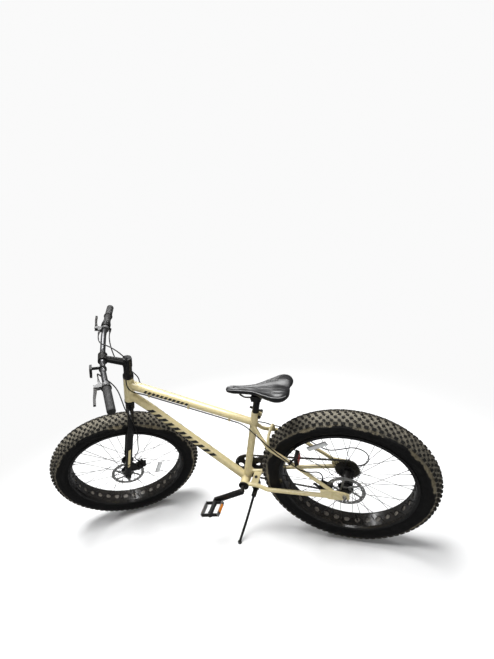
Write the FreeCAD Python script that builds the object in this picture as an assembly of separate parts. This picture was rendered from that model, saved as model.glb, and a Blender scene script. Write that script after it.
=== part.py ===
import FreeCAD, Part
import math
import os

Vector = FreeCAD.Vector

# A fat tyre bicycle standing on its kickstand, sizes in millimetres and degrees.
# The bicycle is laid out upright with the rear axle at zero, X forward, Y left and Z up.
# Steered pieces are laid out about the steering axis, with X forward, Z up along that axis
# and zero at the foot of the head tube. The whole is leaned onto the ground at the end.

# Stance
lean_angle = 8.0
steer_angle = 32.0
crank_angle = -28.0
pedal_tilt = -12.0

# Layout of the frame
wheelbase = 1112.0
head_angle = 69.4
head_length = 133.0
fork_rake = 30.0
crown_clearance = 28.5
bracket_clearance = 69.0
bracket_drop = 36.0
seat_angle = 72.1
seat_tube_length = 420.0
top_tube_drop = 62.0
top_tube_rise = 92.0
down_tube_rise = 34.0

# Fits and gaps
running_gap = 0.08
rest_gap = 0.3

# Tubes
head_radius = 22.0
head_bore = 17.5
top_front_radius = 21.0
top_rear_radius = 15.5
down_radius = 19.5
tube_wall = 1.8
end_set_back = 0.42
seat_tube_radius = 15.9
shell_radius = 21.0
shell_bore = 17.0
shell_width = 100.0
chainstay_radius = 9.5
seatstay_radius = 8.0
bridge_radius = 6.0

# Wheels
tyre_radius = 368.0
tyre_section = 50.0
tyre_wall = 6.0
rim_width = 80.0
rim_flange = 2.0
rim_lip = 4.5
bead_drop = 38.5
rim_edge_drop = 7.5
rim_bed_drop = 4.0
rim_wall = 3.0
rim_seat_room = 4.0
rim_bed_chamfer = 10.0
rim_bed_slope = 2.0
rim_cut_inside = 5.0
rim_cut_outside = 3.0
rim_hole_count = 36
rim_hole_radius = 12.5
spoke_radius = 1.1
nipple_radius = 2.4
nipple_length = 13.0
spoke_circle = 27.0
spoke_crossings = 3
spoke_elbow = 2.0
spoke_end_gap = 0.6
flange_radius = 31.0
flange_thickness = 3.0
spoke_rim_offset = 8.0
hub_radius = 17.0
hub_end_radius = 11.0
hub_taper_radius = 13.0
hub_root_radius = 20.0
hub_root = 6.0
hub_shoulder = 8.0
flange_root_radius = 22.0
rotor_mount_radius = 24.0
rotor_mount_length = 6.0
axle_radius = 5.0
locknut_radius = 9.0
nut_radius = 9.0
nut_height = 9.0
axle_end = 8.0
front_hub_width = 135.0
front_flange = 32.0
front_rotor_side = 51.0
rear_hub_width = 170.0
rear_left_flange = 42.0
rear_right_flange = 36.0
rear_rotor_side = 61.0
hub_end_gap = 7.0

# Brake rotors and calipers
rotor_radius = 80.0
rotor_band = 15.0
rotor_thickness = 2.0
rotor_arms = 6
rotor_holes = 24
rotor_hole_radius = 2.3
rotor_hole_rows = (0.35, 0.65)
rotor_carrier = 9.0
rotor_arm_root = 4.0
rotor_arm_tip = 3.0
rotor_arm_sweep = 28.0
rotor_arm_half_width = 4.5
caliper_near = 52.0
caliper_far = 106.0
caliper_half_height = 18.0
caliper_inner = 14.0
caliper_outer = 9.0
caliper_fillet = 4.0
caliper_bolt_reaches = (62.0, 84.0)
caliper_bolt_offset = 6.0
caliper_bolt_radius = 5.0
pad_start = 61.0
pad_half_height = 9.0
pad_edge = 1.0
pad_gap = 0.5
slot_gap = 1.7
slot_reach = 4.0
stop_height = 11.0
barrel_radius = 4.5
arm_thickness = 4.5
arm_length = 36.0
arm_pin_radius = 4.0
arm_pin_head = 3.0
arm_half_width = 5.0
arm_boss_radius = 8.0
arm_out_share = 0.85
arm_rise_share = 0.5
arm_pin_place = 96.0
front_caliper_angle = 50.0
rear_caliper_angle = 12.0

# Fork
steerer_radius = 14.3
leg_radius = 14.5
leg_spread = 74.0
crown_drop = 50.0
crown_bend = 46.0
dropout_thickness = 7.0
dropout_radius = 15.0
leg_foot_gap = 30.0
leg_tab_lap = 12.0
race_edge = 3.0
brake_tab_thickness = 6.0

# Headset and stem
cup_height = 12.0
cup_radius = 23.0
cup_flange = 7.0
cone_height = 12.0
cone_edge = 1.0
spacer_radius = 18.0
spacer_count = 3
spacer_height = 12.0
stem_height = 40.0
stem_radius = 19.5
stem_reach = 96.0
stem_rise = 30.0
cap_height = 5.0
cap_edge = 1.0
cap_bolt_height = 3.0
cap_bolt_radius = 5.0
stem_neck = 3.0
stem_half_slit = 1.2
stem_bolt_shares = (0.28, 0.72)
stem_bolt_inset = 2.2
stem_bolt_half_length = 13.0
clamp_neck = 5.0
face_gap = 1.6
face_bolt_share = 0.33
face_bolt_edge = 3.2
face_bolt_half_length = 12.0
bolt_radius = 2.5

# Handlebar, grips and levers
bar_radius = 11.1
bar_clamp_radius = 12.7
bar_half_width = 348.0
bar_rise = 34.0
bar_sweep = 34.0
bar_flat = 55.0
bar_shoulder = 125.0
clamp_width = 44.0
clamp_radius = 19.0
grip_radius = 15.5
grip_flange = 19.0
left_grip_length = 128.0
right_grip_length = 78.0
twist_length = 62.0
twist_radius = 17.5
housing_length = 24.0
housing_radius = 20.0
shift_barrel_back = 20.0
shift_barrel_drop = 10.3
shift_barrel_length = 16.0
perch_width = 14.0
perch_ring = 16.5
lever_length = 96.0
lever_pivot_reach = 37.0
lever_half_height = 4.5
ear_thickness = 3.0

# Crankset and pedals
crank_length = 170.0
crank_inner = 79.5
crank_thickness = 14.0
arm_radius = 12.0
spindle_radius = 8.5
pedal_axle_radius = 6.0
pedal_axle_length = 84.0
pedal_gap = 4.0
pedal_length = 92.0
pedal_width = 76.0
pedal_height = 24.0
cage_thickness = 3.0

# Chain, sprockets and derailleur
chain_pitch = 12.7
chain_side = -65.0
roller_radius = 3.9
tooth_gap_radius = 4.7
tooth_height = 1.2
chain_height = 8.0
chain_half_width = 3.3
roller_half_width = 1.6
ring_teeth = 36
ring_thickness = 2.2
ring_windows = 5
window_circle = 46.0
window_radius = 13.0
boss_of_ring = 24.0
cog_teeth = (28, 24, 22, 20, 18, 16, 14)
cog_spacing = 5.0
cog_thickness = 1.8
freewheel_core = 21.0
freewheel_bore = 17.0
pulley_teeth = 11
pulley_thickness = 2.4
pulley_pin = 2.5
hanger_x = 8.0
hanger_drop = 30.0
link_length = 38.0
link_top_drop = 52.0
link_half_width = 8.0
link_thickness = 5.0
link_pin = 2.2
link_spread = 13.0
guide_x = 4.0
guide_drop = 93.0
cage_length = 62.0
cage_plate = 1.8
cage_half_width = 5.4
cage_radius = 12.0
cage_rest_guess = -62.0
knuckle_back = -86.0
stud_radius = 4.0

# Dropouts and stays of the frame
frame_dropout_thickness = 6.0
hanger_bolt_radius = 5.0
stay_end = 46.0
stay_bend = 65.0
down_bend = 260.0

# Seat
post_radius = 13.6
post_exposed = 82.0
post_inserted = 190.0
clamp_slit = 3.0
slit_length = 36.0
lug_size = 13.0
skewer_radius = 2.5
skewer_nut_radius = 6.5
skewer_nut_length = 8.0
skewer_head_radius = 7.0
skewer_head_length = 3.0
saddle_length = 270.0
saddle_half_width = 82.0
saddle_nose_half_width = 19.0
saddle_thickness = 42.0
saddle_nose_reach = 124.0
rail_radius = 3.5
rail_spread = 22.0
rail_height = 12.0

# Kickstand
stand_setback = 46.0
stand_plate_half_length = 17.0
stand_plate_thickness = 6.0
stand_pivot_side = 48.0
stand_pivot_drop = 86.0
stand_leg_radius = 6.0
stand_boss_radius = 11.0
stand_boss_width = 16.0
stand_pin_radius = 5.0
stand_bolt_radius = 4.5
stand_bolt_head_radius = 7.0
stand_bolt_head_height = 5.0
stand_bolt_reach = 20.0
stand_pivot_ahead = 6.0
stand_block_back = 8.0
stand_block_front = 20.0
stand_block_right = 14.0
stand_block_inset = 20.0
stand_block_under = 4.0
stand_knee_ahead = 78.0
stand_knee_drop = 262.0
stand_foot_ahead = 111.0
stand_foot_side = 143.0
stand_foot_radius = 9.0
stand_foot_height = 10.0

# Cables, reflectors and fittings
cable_radius = 2.5
cable_side = 10.0
cable_stand_off = 4.5
stay_cable_gap = 3.5
guide_length = 9.0
guide_width = 8.0
guide_shares = (0.18, 0.5, 0.82)
cable_line_shares = (0.13, 0.93)
reflector_place = 0.1
reflector_ring_half_length = 5.0
reflector_ring_wall = 3.0
reflector_arm_length = 12.0
reflector_arm_radius = 4.0
reflector_arm_foot = 1.0
reflector_arm_root = 2.0
reflector_half_width = 26.0
reflector_half_height = 20.0
reflector_back_depth = 6.0
reflector_set_back = 6.0
reflector_lens_face = 2.0
reflector_lens_depth = 6.0
reflector_lens_border = 2.0
boss_places = (221.0, 285.0)
boss_radius = 5.5
boss_hole = 2.1
boss_height = 2.0
boss_depth = 10.0

# Sizes that follow from others
bead_radius = tyre_radius - tyre_section - bead_drop
rim_edge_radius = bead_radius - rim_edge_drop
rim_inner_radius = rim_edge_radius - rim_bed_drop
fork_length = crown_drop + leg_radius + crown_clearance + tyre_radius
bracket_x = tyre_radius + shell_radius + bracket_clearance
stand_x = bracket_x - stand_setback
stand_knee_x = stand_x + stand_knee_ahead
stand_foot_x = stand_x + stand_foot_ahead
cog_in_use = cog_teeth[len(cog_teeth) // 2]

# Nodes that reach furthest, used to centre the whole
outline_nodes = ("front_tyre", "rear_tyre", "handlebar", "grips", "left_pedal", "right_pedal",
                 "left_brake_lever", "right_brake_lever", "kickstand_leg", "front_reflector")

across = Vector(0, 1, 0)
upright = Vector(0, 0, 1)
forward = Vector(1, 0, 0)
zero = Vector(0, 0, 0)


def rad(angle):
    return math.radians(angle)


def unit(vector):
    result = Vector(vector)
    return result.normalize()


def axes_matrix(origin, x_axis, y_axis, z_axis):
    return FreeCAD.Matrix(
        x_axis.x, y_axis.x, z_axis.x, origin.x,
        x_axis.y, y_axis.y, z_axis.y, origin.y,
        x_axis.z, y_axis.z, z_axis.z, origin.z,
        0, 0, 0, 1)


def moved(shape, matrix):
    return shape.transformed(matrix, True)


def rod(start, end, radius):
    return Part.makeCylinder(radius, (end - start).Length, start, end - start)


def sleeve(start, end, radius, bore):
    return rod(start, end, radius).cut(rod(start, end, bore))


def taper(start, end, start_radius, end_radius):
    if abs(start_radius - end_radius) < 1e-6:
        return rod(start, end, start_radius)
    return Part.makeCone(start_radius, end_radius, (end - start).Length, start, end - start)


def prism(points, sweep):
    face = Part.Face(Part.makePolygon(list(points) + [points[0]]))
    return face.extrude(sweep)


def plate(outline, near, far):
    points = [Vector(x, near, z) for x, z in outline]
    return prism(points, Vector(0, far - near, 0))


def box_between(low, high):
    size = high - low
    return Part.makeBox(size.x, size.y, size.z, low)


def lathe(profile, centre):
    points = [centre + Vector(radius, side, 0) for radius, side in profile]
    face = Part.Face(Part.makePolygon(points + [points[0]]))
    return face.revolve(centre, across, 360)


def stadium(start, end, radius, near, far):
    # A flat bar with round ends between two points of the XZ plane.
    run = Vector(end.x - start.x, 0, end.z - start.z)
    side = unit(run.cross(across)) * radius
    first = Vector(start.x, near, start.z)
    last = Vector(end.x, near, end.z)
    sweep = Vector(0, far - near, 0)
    bar = prism([first + side, last + side, last - side, first - side], sweep)
    round_ends = [Part.makeCylinder(radius, abs(far - near), point, sweep) for point in (first, last)]
    return bar.fuse(round_ends).removeSplitter()


def fused(shapes):
    return shapes[0].fuse(list(shapes[1:])).removeSplitter()


def polar(radius, angle):
    return Vector(radius * math.cos(rad(angle)), 0, radius * math.sin(rad(angle)))


def round_tyre(clearance, angle, outside, side=1):
    # A place about the rear axle, measured from the tyre's tread and its widest place.
    return polar(tyre_radius + clearance, angle) + across * (side * (tyre_section + outside))


# Routes of tubes and cables

def bend_room(points, index):
    before = points[index] - points[index - 1]
    after = points[index + 1] - points[index]
    turn = before.getAngle(after)
    return 0.45 * min(before.Length, after.Length) / math.tan(turn / 2), turn


def rounded_route(points, bend=None):
    # Straight runs joined by tangent arcs. Without a bend the arcs are as large as the runs allow.
    edges = []
    radii = []
    last = points[0]
    for index in range(1, len(points) - 1):
        room, turn = bend_room(points, index)
        radius = room if bend is None else min(bend, room)
        cut = radius * math.tan(turn / 2)
        back = unit(points[index - 1] - points[index])
        ahead = unit(points[index + 1] - points[index])
        start = points[index] + back * cut
        end = points[index] + ahead * cut
        middle = points[index] + unit(back + ahead) * (radius / math.cos(turn / 2) - radius)
        edges.append(Part.LineSegment(last, start).toShape())
        edges.append(Part.Arc(start, middle, end).toShape())
        radii.append(radius)
        last = end
    edges.append(Part.LineSegment(last, points[-1]).toShape())
    return Part.Wire(edges), radii


def pipe(points, radius, bend=None):
    route, radii = rounded_route(points, bend)
    ring = Part.Wire([Part.makeCircle(radius, points[0], points[1] - points[0])])
    shape = route.makePipeShell([ring], True, False)
    if shape.Volume < 0:
        shape.reverse()
    return shape


def cable(points, name):
    route, radii = rounded_route(points)
    shape = pipe(points, cable_radius)
    share = shape.Volume / (math.pi * cable_radius ** 2 * route.Length)
    print(name, "length", round(route.Length), "volume share", round(share, 3),
          "radii", [round(radius) for radius in radii])
    return shape


# Reference points and directions

seat_up = Vector(-math.cos(rad(seat_angle)), 0, math.sin(rad(seat_angle)))
seat_back = Vector(-math.sin(rad(seat_angle)), 0, -math.cos(rad(seat_angle)))
head_up = Vector(-math.cos(rad(head_angle)), 0, math.sin(rad(head_angle)))
head_front = Vector(math.sin(rad(head_angle)), 0, math.cos(rad(head_angle)))
front_axle_straight = Vector(wheelbase, 0, 0)
head_base = front_axle_straight - head_front * fork_rake + head_up * fork_length
bracket = Vector(bracket_x, 0, -bracket_drop)
seat_top = bracket + seat_up * seat_tube_length
top_front = head_base + head_up * top_tube_rise
top_rear = seat_top - seat_up * top_tube_drop
steered_axle = Vector(fork_rake, 0, -fork_length)
bar_height = head_length + cup_height + cone_height + spacer_count * spacer_height + stem_height / 2 + stem_rise
bar_centre = Vector(stem_reach, 0, bar_height)
rear_dropout = rear_hub_width / 2
front_dropout = front_hub_width / 2
steer_turn = FreeCAD.Matrix()
steer_turn.rotateZ(rad(steer_angle))
steer_matrix = axes_matrix(head_base, head_front, across, head_up).multiply(steer_turn)


def steered(point):
    return steer_matrix.multVec(point)


# Wheels

def tyre(centre):
    half = rim_width / 2 - rim_flange - rest_gap
    core = tyre_radius - tyre_section
    inside = tyre_section - tyre_wall
    inner_half = half - tyre_wall
    outer_start = core - math.sqrt(tyre_section ** 2 - half ** 2)
    inner_start = core - math.sqrt(inside ** 2 - inner_half ** 2)

    def at(radius, side):
        return centre + Vector(radius, side, 0)
    edges = [
        Part.LineSegment(at(bead_radius, half), at(outer_start, half)).toShape(),
        Part.Arc(at(outer_start, half), at(tyre_radius, 0), at(outer_start, -half)).toShape(),
        Part.LineSegment(at(outer_start, -half), at(bead_radius, -half)).toShape(),
        Part.LineSegment(at(bead_radius, -half), at(bead_radius, -inner_half)).toShape(),
        Part.LineSegment(at(bead_radius, -inner_half), at(inner_start, -inner_half)).toShape(),
        Part.Arc(at(inner_start, -inner_half), at(core + inside, 0), at(inner_start, inner_half)).toShape(),
        Part.LineSegment(at(inner_start, inner_half), at(bead_radius, inner_half)).toShape(),
        Part.LineSegment(at(bead_radius, inner_half), at(bead_radius, half)).toShape()]
    return Part.Face(Part.Wire(edges)).revolve(centre, across, 360)


def rim(centre):
    half = rim_width / 2
    shoulder = half - rim_flange
    seat_edge = shoulder - tyre_wall - rim_seat_room
    lip = bead_radius + rim_lip
    bed = rim_inner_radius + rim_wall
    side = [(rim_inner_radius, half - rim_bed_chamfer), (rim_edge_radius, half), (lip, half), (lip, shoulder),
            (bead_radius, shoulder), (bead_radius, seat_edge), (bed, seat_edge - rim_bed_slope)]
    other = [(radius, -place) for radius, place in reversed(side)]
    ring = lathe(side + other, centre)
    cutters = []
    for index in range(rim_hole_count):
        way = polar(1, (index + 0.5) * 360 / rim_hole_count)
        cutters.append(rod(centre + way * (rim_inner_radius - rim_cut_inside),
                           centre + way * (bed + rim_cut_outside), rim_hole_radius))
    return ring.cut(cutters)


def spokes(centre, left_flange, right_flange):
    solids = []
    per_side = rim_hole_count // 2
    pitch = 360 / per_side
    cross = spoke_crossings * pitch
    for side, flange in ((1, left_flange), (-1, right_flange)):
        for index in range(per_side):
            rim_angle = index * pitch + (0 if side > 0 else pitch / 2)
            leading = index % 2 == 0
            hub_angle = rim_angle + (cross if leading else -cross)
            clearance = flange_thickness / 2 + spoke_radius
            hub_side = flange + clearance + spoke_elbow if leading else flange - clearance - rest_gap
            start = centre + polar(spoke_circle, hub_angle) + across * (side * hub_side)
            end = centre + polar(rim_inner_radius - spoke_end_gap, rim_angle)
            end = end + across * (side * spoke_rim_offset)
            length = (end - start).Length
            outline = [(0, 0), (spoke_radius, 0), (spoke_radius, length - nipple_length),
                       (nipple_radius, length - nipple_length), (nipple_radius, length), (0, length)]
            solid = lathe(outline, zero)
            run = unit(end - start)
            other = unit(run.cross(across))
            solids.append(moved(solid, axes_matrix(start, other, run, other.cross(run))))
    return Part.makeCompound(solids)


def hub(centre, left_flange, right_flange, rotor_side, left_end, right_end, threaded):
    half = flange_thickness / 2
    bore = axle_radius + running_gap
    right = [(bore, -right_end)]
    if threaded:
        right += [(freewheel_bore, -right_end), (freewheel_bore, -(right_flange + hub_shoulder)),
                  (flange_root_radius, -(right_flange + hub_shoulder))]
    else:
        right += [(hub_end_radius, -right_end), (hub_taper_radius, -(right_flange + hub_shoulder)),
                  (hub_root_radius, -(right_flange + hub_root))]
    right += [(flange_root_radius, -(right_flange + half)), (flange_radius, -(right_flange + half)),
              (flange_radius, -(right_flange - half)), (hub_radius, -(right_flange - half))]
    left = [(hub_radius, left_flange - half), (flange_radius, left_flange - half),
            (flange_radius, left_flange + half), (flange_root_radius, left_flange + half),
            (rotor_mount_radius, rotor_side - rotor_mount_length), (rotor_mount_radius, rotor_side),
            (hub_radius, rotor_side), (hub_radius, rotor_side + rotor_thickness),
            (hub_end_radius, rotor_side + rotor_thickness), (hub_end_radius, left_end), (bore, left_end)]
    return lathe(right + left, centre)


def rotor(centre, rotor_side):
    near = rotor_side
    far = rotor_side + rotor_thickness
    middle = hub_radius + rotor_carrier

    def ring(outer, inner):
        return sleeve(centre + across * near, centre + across * far, outer, inner)
    inner_edge = rotor_radius - rotor_band
    pieces = [ring(rotor_radius, inner_edge), ring(middle, hub_radius)]
    for index in range(rotor_arms):
        angle = index * 360 / rotor_arms
        start = centre + polar(middle - rotor_arm_root, angle)
        end = centre + polar(inner_edge + rotor_arm_tip, angle + rotor_arm_sweep)
        side = unit((end - start).cross(across)) * rotor_arm_half_width
        corners = [start + side, end + side, end - side, start - side]
        pieces.append(prism([corner + across * near for corner in corners], across * rotor_thickness))
    disc = fused(pieces)
    holes = []
    for index in range(rotor_holes):
        row = rotor_hole_rows[index % len(rotor_hole_rows)]
        place = centre + polar(rotor_radius - rotor_band * row, index * 360 / rotor_holes)
        holes.append(rod(place + across * (near - rotor_thickness), place + across * (far + rotor_thickness),
                         rotor_hole_radius))
    return disc.cut(holes)


def axle(centre, half_width, left_end, right_end, dropout):
    outer = half_width + dropout
    pieces = [rod(centre - across * (outer + nut_height + axle_end),
                  centre + across * (outer + nut_height + axle_end), axle_radius)]
    for side, hub_end in ((1, left_end), (-1, right_end)):
        start = centre + across * (side * (hub_end + rest_gap))
        pieces.append(rod(start, centre + across * (side * half_width), locknut_radius))
        corners = [centre + polar(nut_radius, 60 * k) + across * (side * outer) for k in range(6)]
        pieces.append(prism(corners, across * (side * nut_height)))
    return fused(pieces)


# Brakes

def caliper(centre, radial, rotor_side, rise):
    # The cable stop points along the rotor's edge, forward or back as rise is 1 or -1.
    inner = rotor_side - caliper_inner
    outer = rotor_side + rotor_thickness + caliper_outer
    place = axes_matrix(centre, radial, across, radial.cross(across))
    body = box_between(Vector(caliper_near, inner, -caliper_half_height),
                       Vector(caliper_far, outer, caliper_half_height))
    body = body.makeFillet(caliper_fillet, body.Edges)
    slot = rod(Vector(0, rotor_side - slot_gap, 0),
               Vector(0, rotor_side + rotor_thickness + slot_gap, 0), rotor_radius + slot_reach)
    pin = rod(Vector(arm_pin_place, outer, 0), Vector(arm_pin_place, outer + arm_thickness + arm_pin_head, 0),
              arm_pin_radius)
    stop = rod(Vector(arm_pin_place, rotor_side, rise * (caliper_half_height - 1)),
               Vector(arm_pin_place, rotor_side, rise * (caliper_half_height + stop_height)), barrel_radius)
    body = body.cut(slot).fuse([pin, stop])
    pads = []
    for near, far in ((rotor_side - slot_gap, rotor_side - pad_gap),
                      (rotor_side + rotor_thickness + pad_gap, rotor_side + rotor_thickness + slot_gap)):
        pads.append(box_between(Vector(pad_start, near, -pad_half_height),
                                Vector(rotor_radius - pad_edge, far, pad_half_height)))
    return [moved(piece, place) for piece in [body] + pads]


def caliper_arm(centre, radial, rotor_side, rise):
    start = rotor_side + rotor_thickness + caliper_outer + rest_gap
    end = start + arm_thickness
    pivot = Vector(arm_pin_place, 0, 0)
    tip = pivot + Vector(arm_length * arm_out_share, 0, rise * arm_length * arm_rise_share)
    bar = stadium(pivot, tip, arm_half_width, start, end)
    ring = rod(pivot + across * start, pivot + across * end, arm_boss_radius)
    hole = rod(pivot + across * (start - 1), pivot + across * (end + 1), arm_pin_radius + running_gap)
    shape = bar.fuse(ring).cut(hole)
    return moved(shape, axes_matrix(centre, radial, across, radial.cross(across)))


front_radial = Vector(-math.sin(rad(front_caliper_angle)), 0, math.cos(rad(front_caliper_angle)))
rear_radial = polar(1, rear_caliper_angle)
rear_tangent = polar(1, rear_caliper_angle + 90)


def wheel_nodes():
    left_front = front_dropout - hub_end_gap
    left_rear = rear_dropout - hub_end_gap
    right_rear = rear_dropout - 3
    nodes = {}
    turned = {
        "front_tyre": tyre(steered_axle),
        "front_rim": rim(steered_axle),
        "front_spokes": spokes(steered_axle, front_flange, front_flange),
        "front_hub": hub(steered_axle, front_flange, front_flange, front_rotor_side,
                         left_front, left_front, False),
        "front_rotor": rotor(steered_axle, front_rotor_side),
        "front_axle": axle(steered_axle, front_dropout, left_front, left_front, dropout_thickness)}
    nodes.update({name: moved(shape, steer_matrix) for name, shape in turned.items()})
    nodes["rear_tyre"] = tyre(zero)
    nodes["rear_rim"] = rim(zero)
    nodes["rear_spokes"] = spokes(zero, rear_left_flange, rear_right_flange)
    nodes["rear_hub"] = hub(zero, rear_left_flange, rear_right_flange, rear_rotor_side,
                            left_rear, right_rear, True)
    nodes["rear_rotor"] = rotor(zero, rear_rotor_side)
    nodes["rear_axle"] = axle(zero, rear_dropout, left_rear, right_rear, frame_dropout_thickness)
    return nodes


# Steered pieces

def fork():
    top = Vector(0, leg_spread, -crown_drop)
    foot = steered_axle + across * leg_spread
    leg_end = foot + unit(top - foot) * leg_foot_gap
    mirror = Vector(1, -1, 1)

    def right(point):
        return Vector(point.x * mirror.x, point.y * mirror.y, point.z * mirror.z)
    arch = pipe([leg_end, top, right(top), right(leg_end)], leg_radius, crown_bend)
    steerer_top = bar_height - stem_rise + stem_height / 2
    steerer = rod(Vector(0, 0, -crown_drop), Vector(0, 0, steerer_top), steerer_radius)
    race = rod(Vector(0, 0, -crown_drop), Vector(0, 0, -cup_height - rest_gap), cup_radius - race_edge)
    pieces = [arch, steerer, race]
    for side in (1, -1):
        near = side * front_dropout
        far = side * (front_dropout + dropout_thickness)
        tab = stadium(leg_end + unit(top - foot) * leg_tab_lap, steered_axle, dropout_radius, near, far)
        pieces.append(tab)
    brake_face = front_rotor_side + rotor_thickness + caliper_outer
    outline = [(-4, 38), (-4, 108), (-28, 94), (-56, 52), (-44, 32)]
    outline = [(steered_axle.x + x, steered_axle.z + z) for x, z in outline]
    pieces.append(plate(outline, brake_face, brake_face + brake_tab_thickness))
    shape = fused(pieces)
    hole = rod(steered_axle - across * front_hub_width, steered_axle + across * front_hub_width, axle_radius)
    return shape.cut(hole)


def headset_spacers():
    bore = steerer_radius
    base = head_length + cup_height + rest_gap
    solids = [taper(Vector(0, 0, base), Vector(0, 0, head_length + cup_height + cone_height),
                    cup_radius - cone_edge, spacer_radius)]
    start = head_length + cup_height + cone_height
    for index in range(spacer_count):
        low = Vector(0, 0, start + index * spacer_height)
        solids.append(rod(low, low + upright * spacer_height, spacer_radius))
    hole = rod(Vector(0, 0, 0), Vector(0, 0, bar_height + 100), bore)
    return Part.makeCompound([solid.cut(hole) for solid in solids])


def stem_pieces():
    low = bar_height - stem_rise - stem_height / 2
    high = low + stem_height
    middle = Vector(0, 0, (low + high) / 2)
    column = rod(Vector(0, 0, low), Vector(0, 0, high), stem_radius)
    arm = taper(middle, bar_centre, stem_radius - stem_neck, clamp_radius - clamp_neck)
    shell = rod(bar_centre - across * clamp_width / 2, bar_centre + across * clamp_width / 2, clamp_radius)
    body = fused([column, arm, shell])
    bar_hole = rod(bar_centre - across * clamp_width, bar_centre + across * clamp_width, bar_clamp_radius)
    steerer_hole = rod(Vector(0, 0, low - 5), Vector(0, 0, high + 5), steerer_radius)
    slit = box_between(Vector(-2 * stem_radius, -stem_half_slit, low - stem_height),
                       Vector(0, stem_half_slit, high + stem_height))
    body = body.cut([bar_hole, steerer_hole, slit])
    reach = unit(bar_centre - middle)
    lift = reach.cross(across)
    cutter = Part.makeBox(clamp_radius * 2, clamp_width * 2, clamp_radius * 4)
    corner = bar_centre - across * clamp_width - lift * (clamp_radius * 2)
    front_half = moved(cutter, axes_matrix(corner + reach * (face_gap / 2), reach, across, lift))
    gap = moved(Part.makeBox(face_gap, clamp_width * 2, clamp_radius * 4),
                axes_matrix(corner - reach * (face_gap / 2), reach, across, lift))
    plate_piece = body.common(front_half)
    main_piece = body.cut([front_half, gap])
    cap = rod(Vector(0, 0, high), Vector(0, 0, high + cap_height), stem_radius - cap_edge)
    cap_bolt = rod(Vector(0, 0, high + cap_height), Vector(0, 0, high + cap_height + cap_bolt_height),
                   cap_bolt_radius)
    bolts = [cap, cap_bolt]
    for side in (-1, 1):
        for rise in (-1, 1):
            place = bar_centre + across * (side * clamp_width * face_bolt_share)
            place = place + lift * (rise * (clamp_radius - face_bolt_edge))
            half = reach * face_bolt_half_length
            bolts.append(rod(place - half, place + half, bolt_radius))
    for share in stem_bolt_shares:
        height = low + stem_height * share
        place = Vector(-stem_radius + stem_bolt_inset, 0, height)
        half = across * stem_bolt_half_length
        bolts.append(rod(place - half, place + half, bolt_radius))
    main_piece = main_piece.cut(bolts)
    plate_piece = plate_piece.cut(bolts[2:])
    return Part.makeCompound([main_piece, plate_piece]), Part.makeCompound(bolts)


def bar_points(side):
    flat = bar_centre + across * (side * bar_flat)
    shoulder = bar_centre + Vector(-bar_sweep * 0.15, side * bar_shoulder, bar_rise * 0.85)
    end = bar_centre + Vector(-bar_sweep, side * bar_half_width, bar_rise)
    return flat, shoulder, end


def handlebar():
    left = bar_points(1)
    right = bar_points(-1)
    route = [left[2], left[1], left[0], right[0], right[1], right[2]]
    tube = pipe(route, bar_radius, 60.0)
    inner = clamp_width / 2 + 2
    outer = inner + 6
    bulge = lathe([(bar_radius - 2, -outer), (bar_radius, -outer), (bar_clamp_radius, -inner),
                   (bar_clamp_radius, inner), (bar_radius, outer), (bar_radius - 2, outer)], bar_centre)
    return fused([tube, bulge])


def bar_frame(side, from_end):
    # Matrix whose X points forward, Y outboard along the bar and Z up, at a place on the bar.
    flat, shoulder, end = bar_points(side)
    outboard = unit(end - shoulder)
    front = unit(forward - outboard * forward.dot(outboard))
    up = front.cross(outboard)
    origin = end - outboard * from_end
    return axes_matrix(origin, front, outboard, up)


def bar_rise_frame(side):
    # The same axes half way up the bar's rise.
    flat, shoulder, end = bar_points(side)
    outboard = unit(shoulder - flat)
    front = unit(forward - outboard * forward.dot(outboard))
    return axes_matrix((flat + shoulder) * 0.5, front, outboard, front.cross(outboard))


def grip(side, length):
    bore = bar_radius
    outline = [(bore, 0), (bore, length), (0, length), (0, length + 3), (grip_radius - 2, length + 3),
               (grip_radius, length), (grip_radius, 4), (grip_flange, 4), (grip_flange, 0)]
    return moved(lathe(outline, zero), bar_frame(side, length))


def perch(side, from_end):
    out = perch_width / 2
    ring = sleeve(Vector(0, -out, 0), Vector(0, out, 0), perch_ring, bar_radius)
    half = lever_half_height + rest_gap + ear_thickness
    block = prism([Vector(bar_radius + 2.5, -out - 9, -half), Vector(bar_radius + 2.5, out, -half),
                   Vector(27, out + 2, -half), Vector(27, -out - 14, -half)], upright * (2 * half))
    bar_cut = rod(Vector(0, -60, 0), Vector(0, 60, 0), bar_radius)
    pieces = [ring, block.cut(bar_cut)]
    for low in (-half, lever_half_height + rest_gap):
        ear = prism([Vector(26, -8, low), Vector(26, 9, low), Vector(lever_pivot_reach + 7, 7, low),
                     Vector(lever_pivot_reach + 7, -7, low)], upright * ear_thickness)
        pieces.append(ear)
    pivot = Vector(lever_pivot_reach, 0, 0)
    pieces.append(rod(pivot - upright * half, pivot + upright * half, 2.6))
    barrel = rod(Vector(22, -out - 10, 0), Vector(22, -barrel_end, 0), barrel_radius)
    pieces.append(barrel)
    return moved(fused(pieces), bar_frame(side, from_end))


def lever(side, from_end):
    low = -lever_half_height
    tip = lever_length
    outline = [Vector(lever_pivot_reach - 6, -5, low), Vector(lever_pivot_reach + 6, -5, low),
               Vector(lever_pivot_reach + 9, tip * 0.25, low), Vector(lever_pivot_reach + 14, tip * 0.6, low),
               Vector(lever_pivot_reach + 17, tip, low), Vector(lever_pivot_reach + 8, tip, low),
               Vector(lever_pivot_reach + 5, tip * 0.6, low), Vector(lever_pivot_reach - 2, tip * 0.25, low)]
    blade = prism(outline, upright * (2 * lever_half_height))
    hole = rod(Vector(lever_pivot_reach, 0, low - 1), Vector(lever_pivot_reach, 0, lever_half_height + 1),
               2.6 + running_gap)
    return moved(blade.cut(hole), bar_frame(side, from_end))


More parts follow.
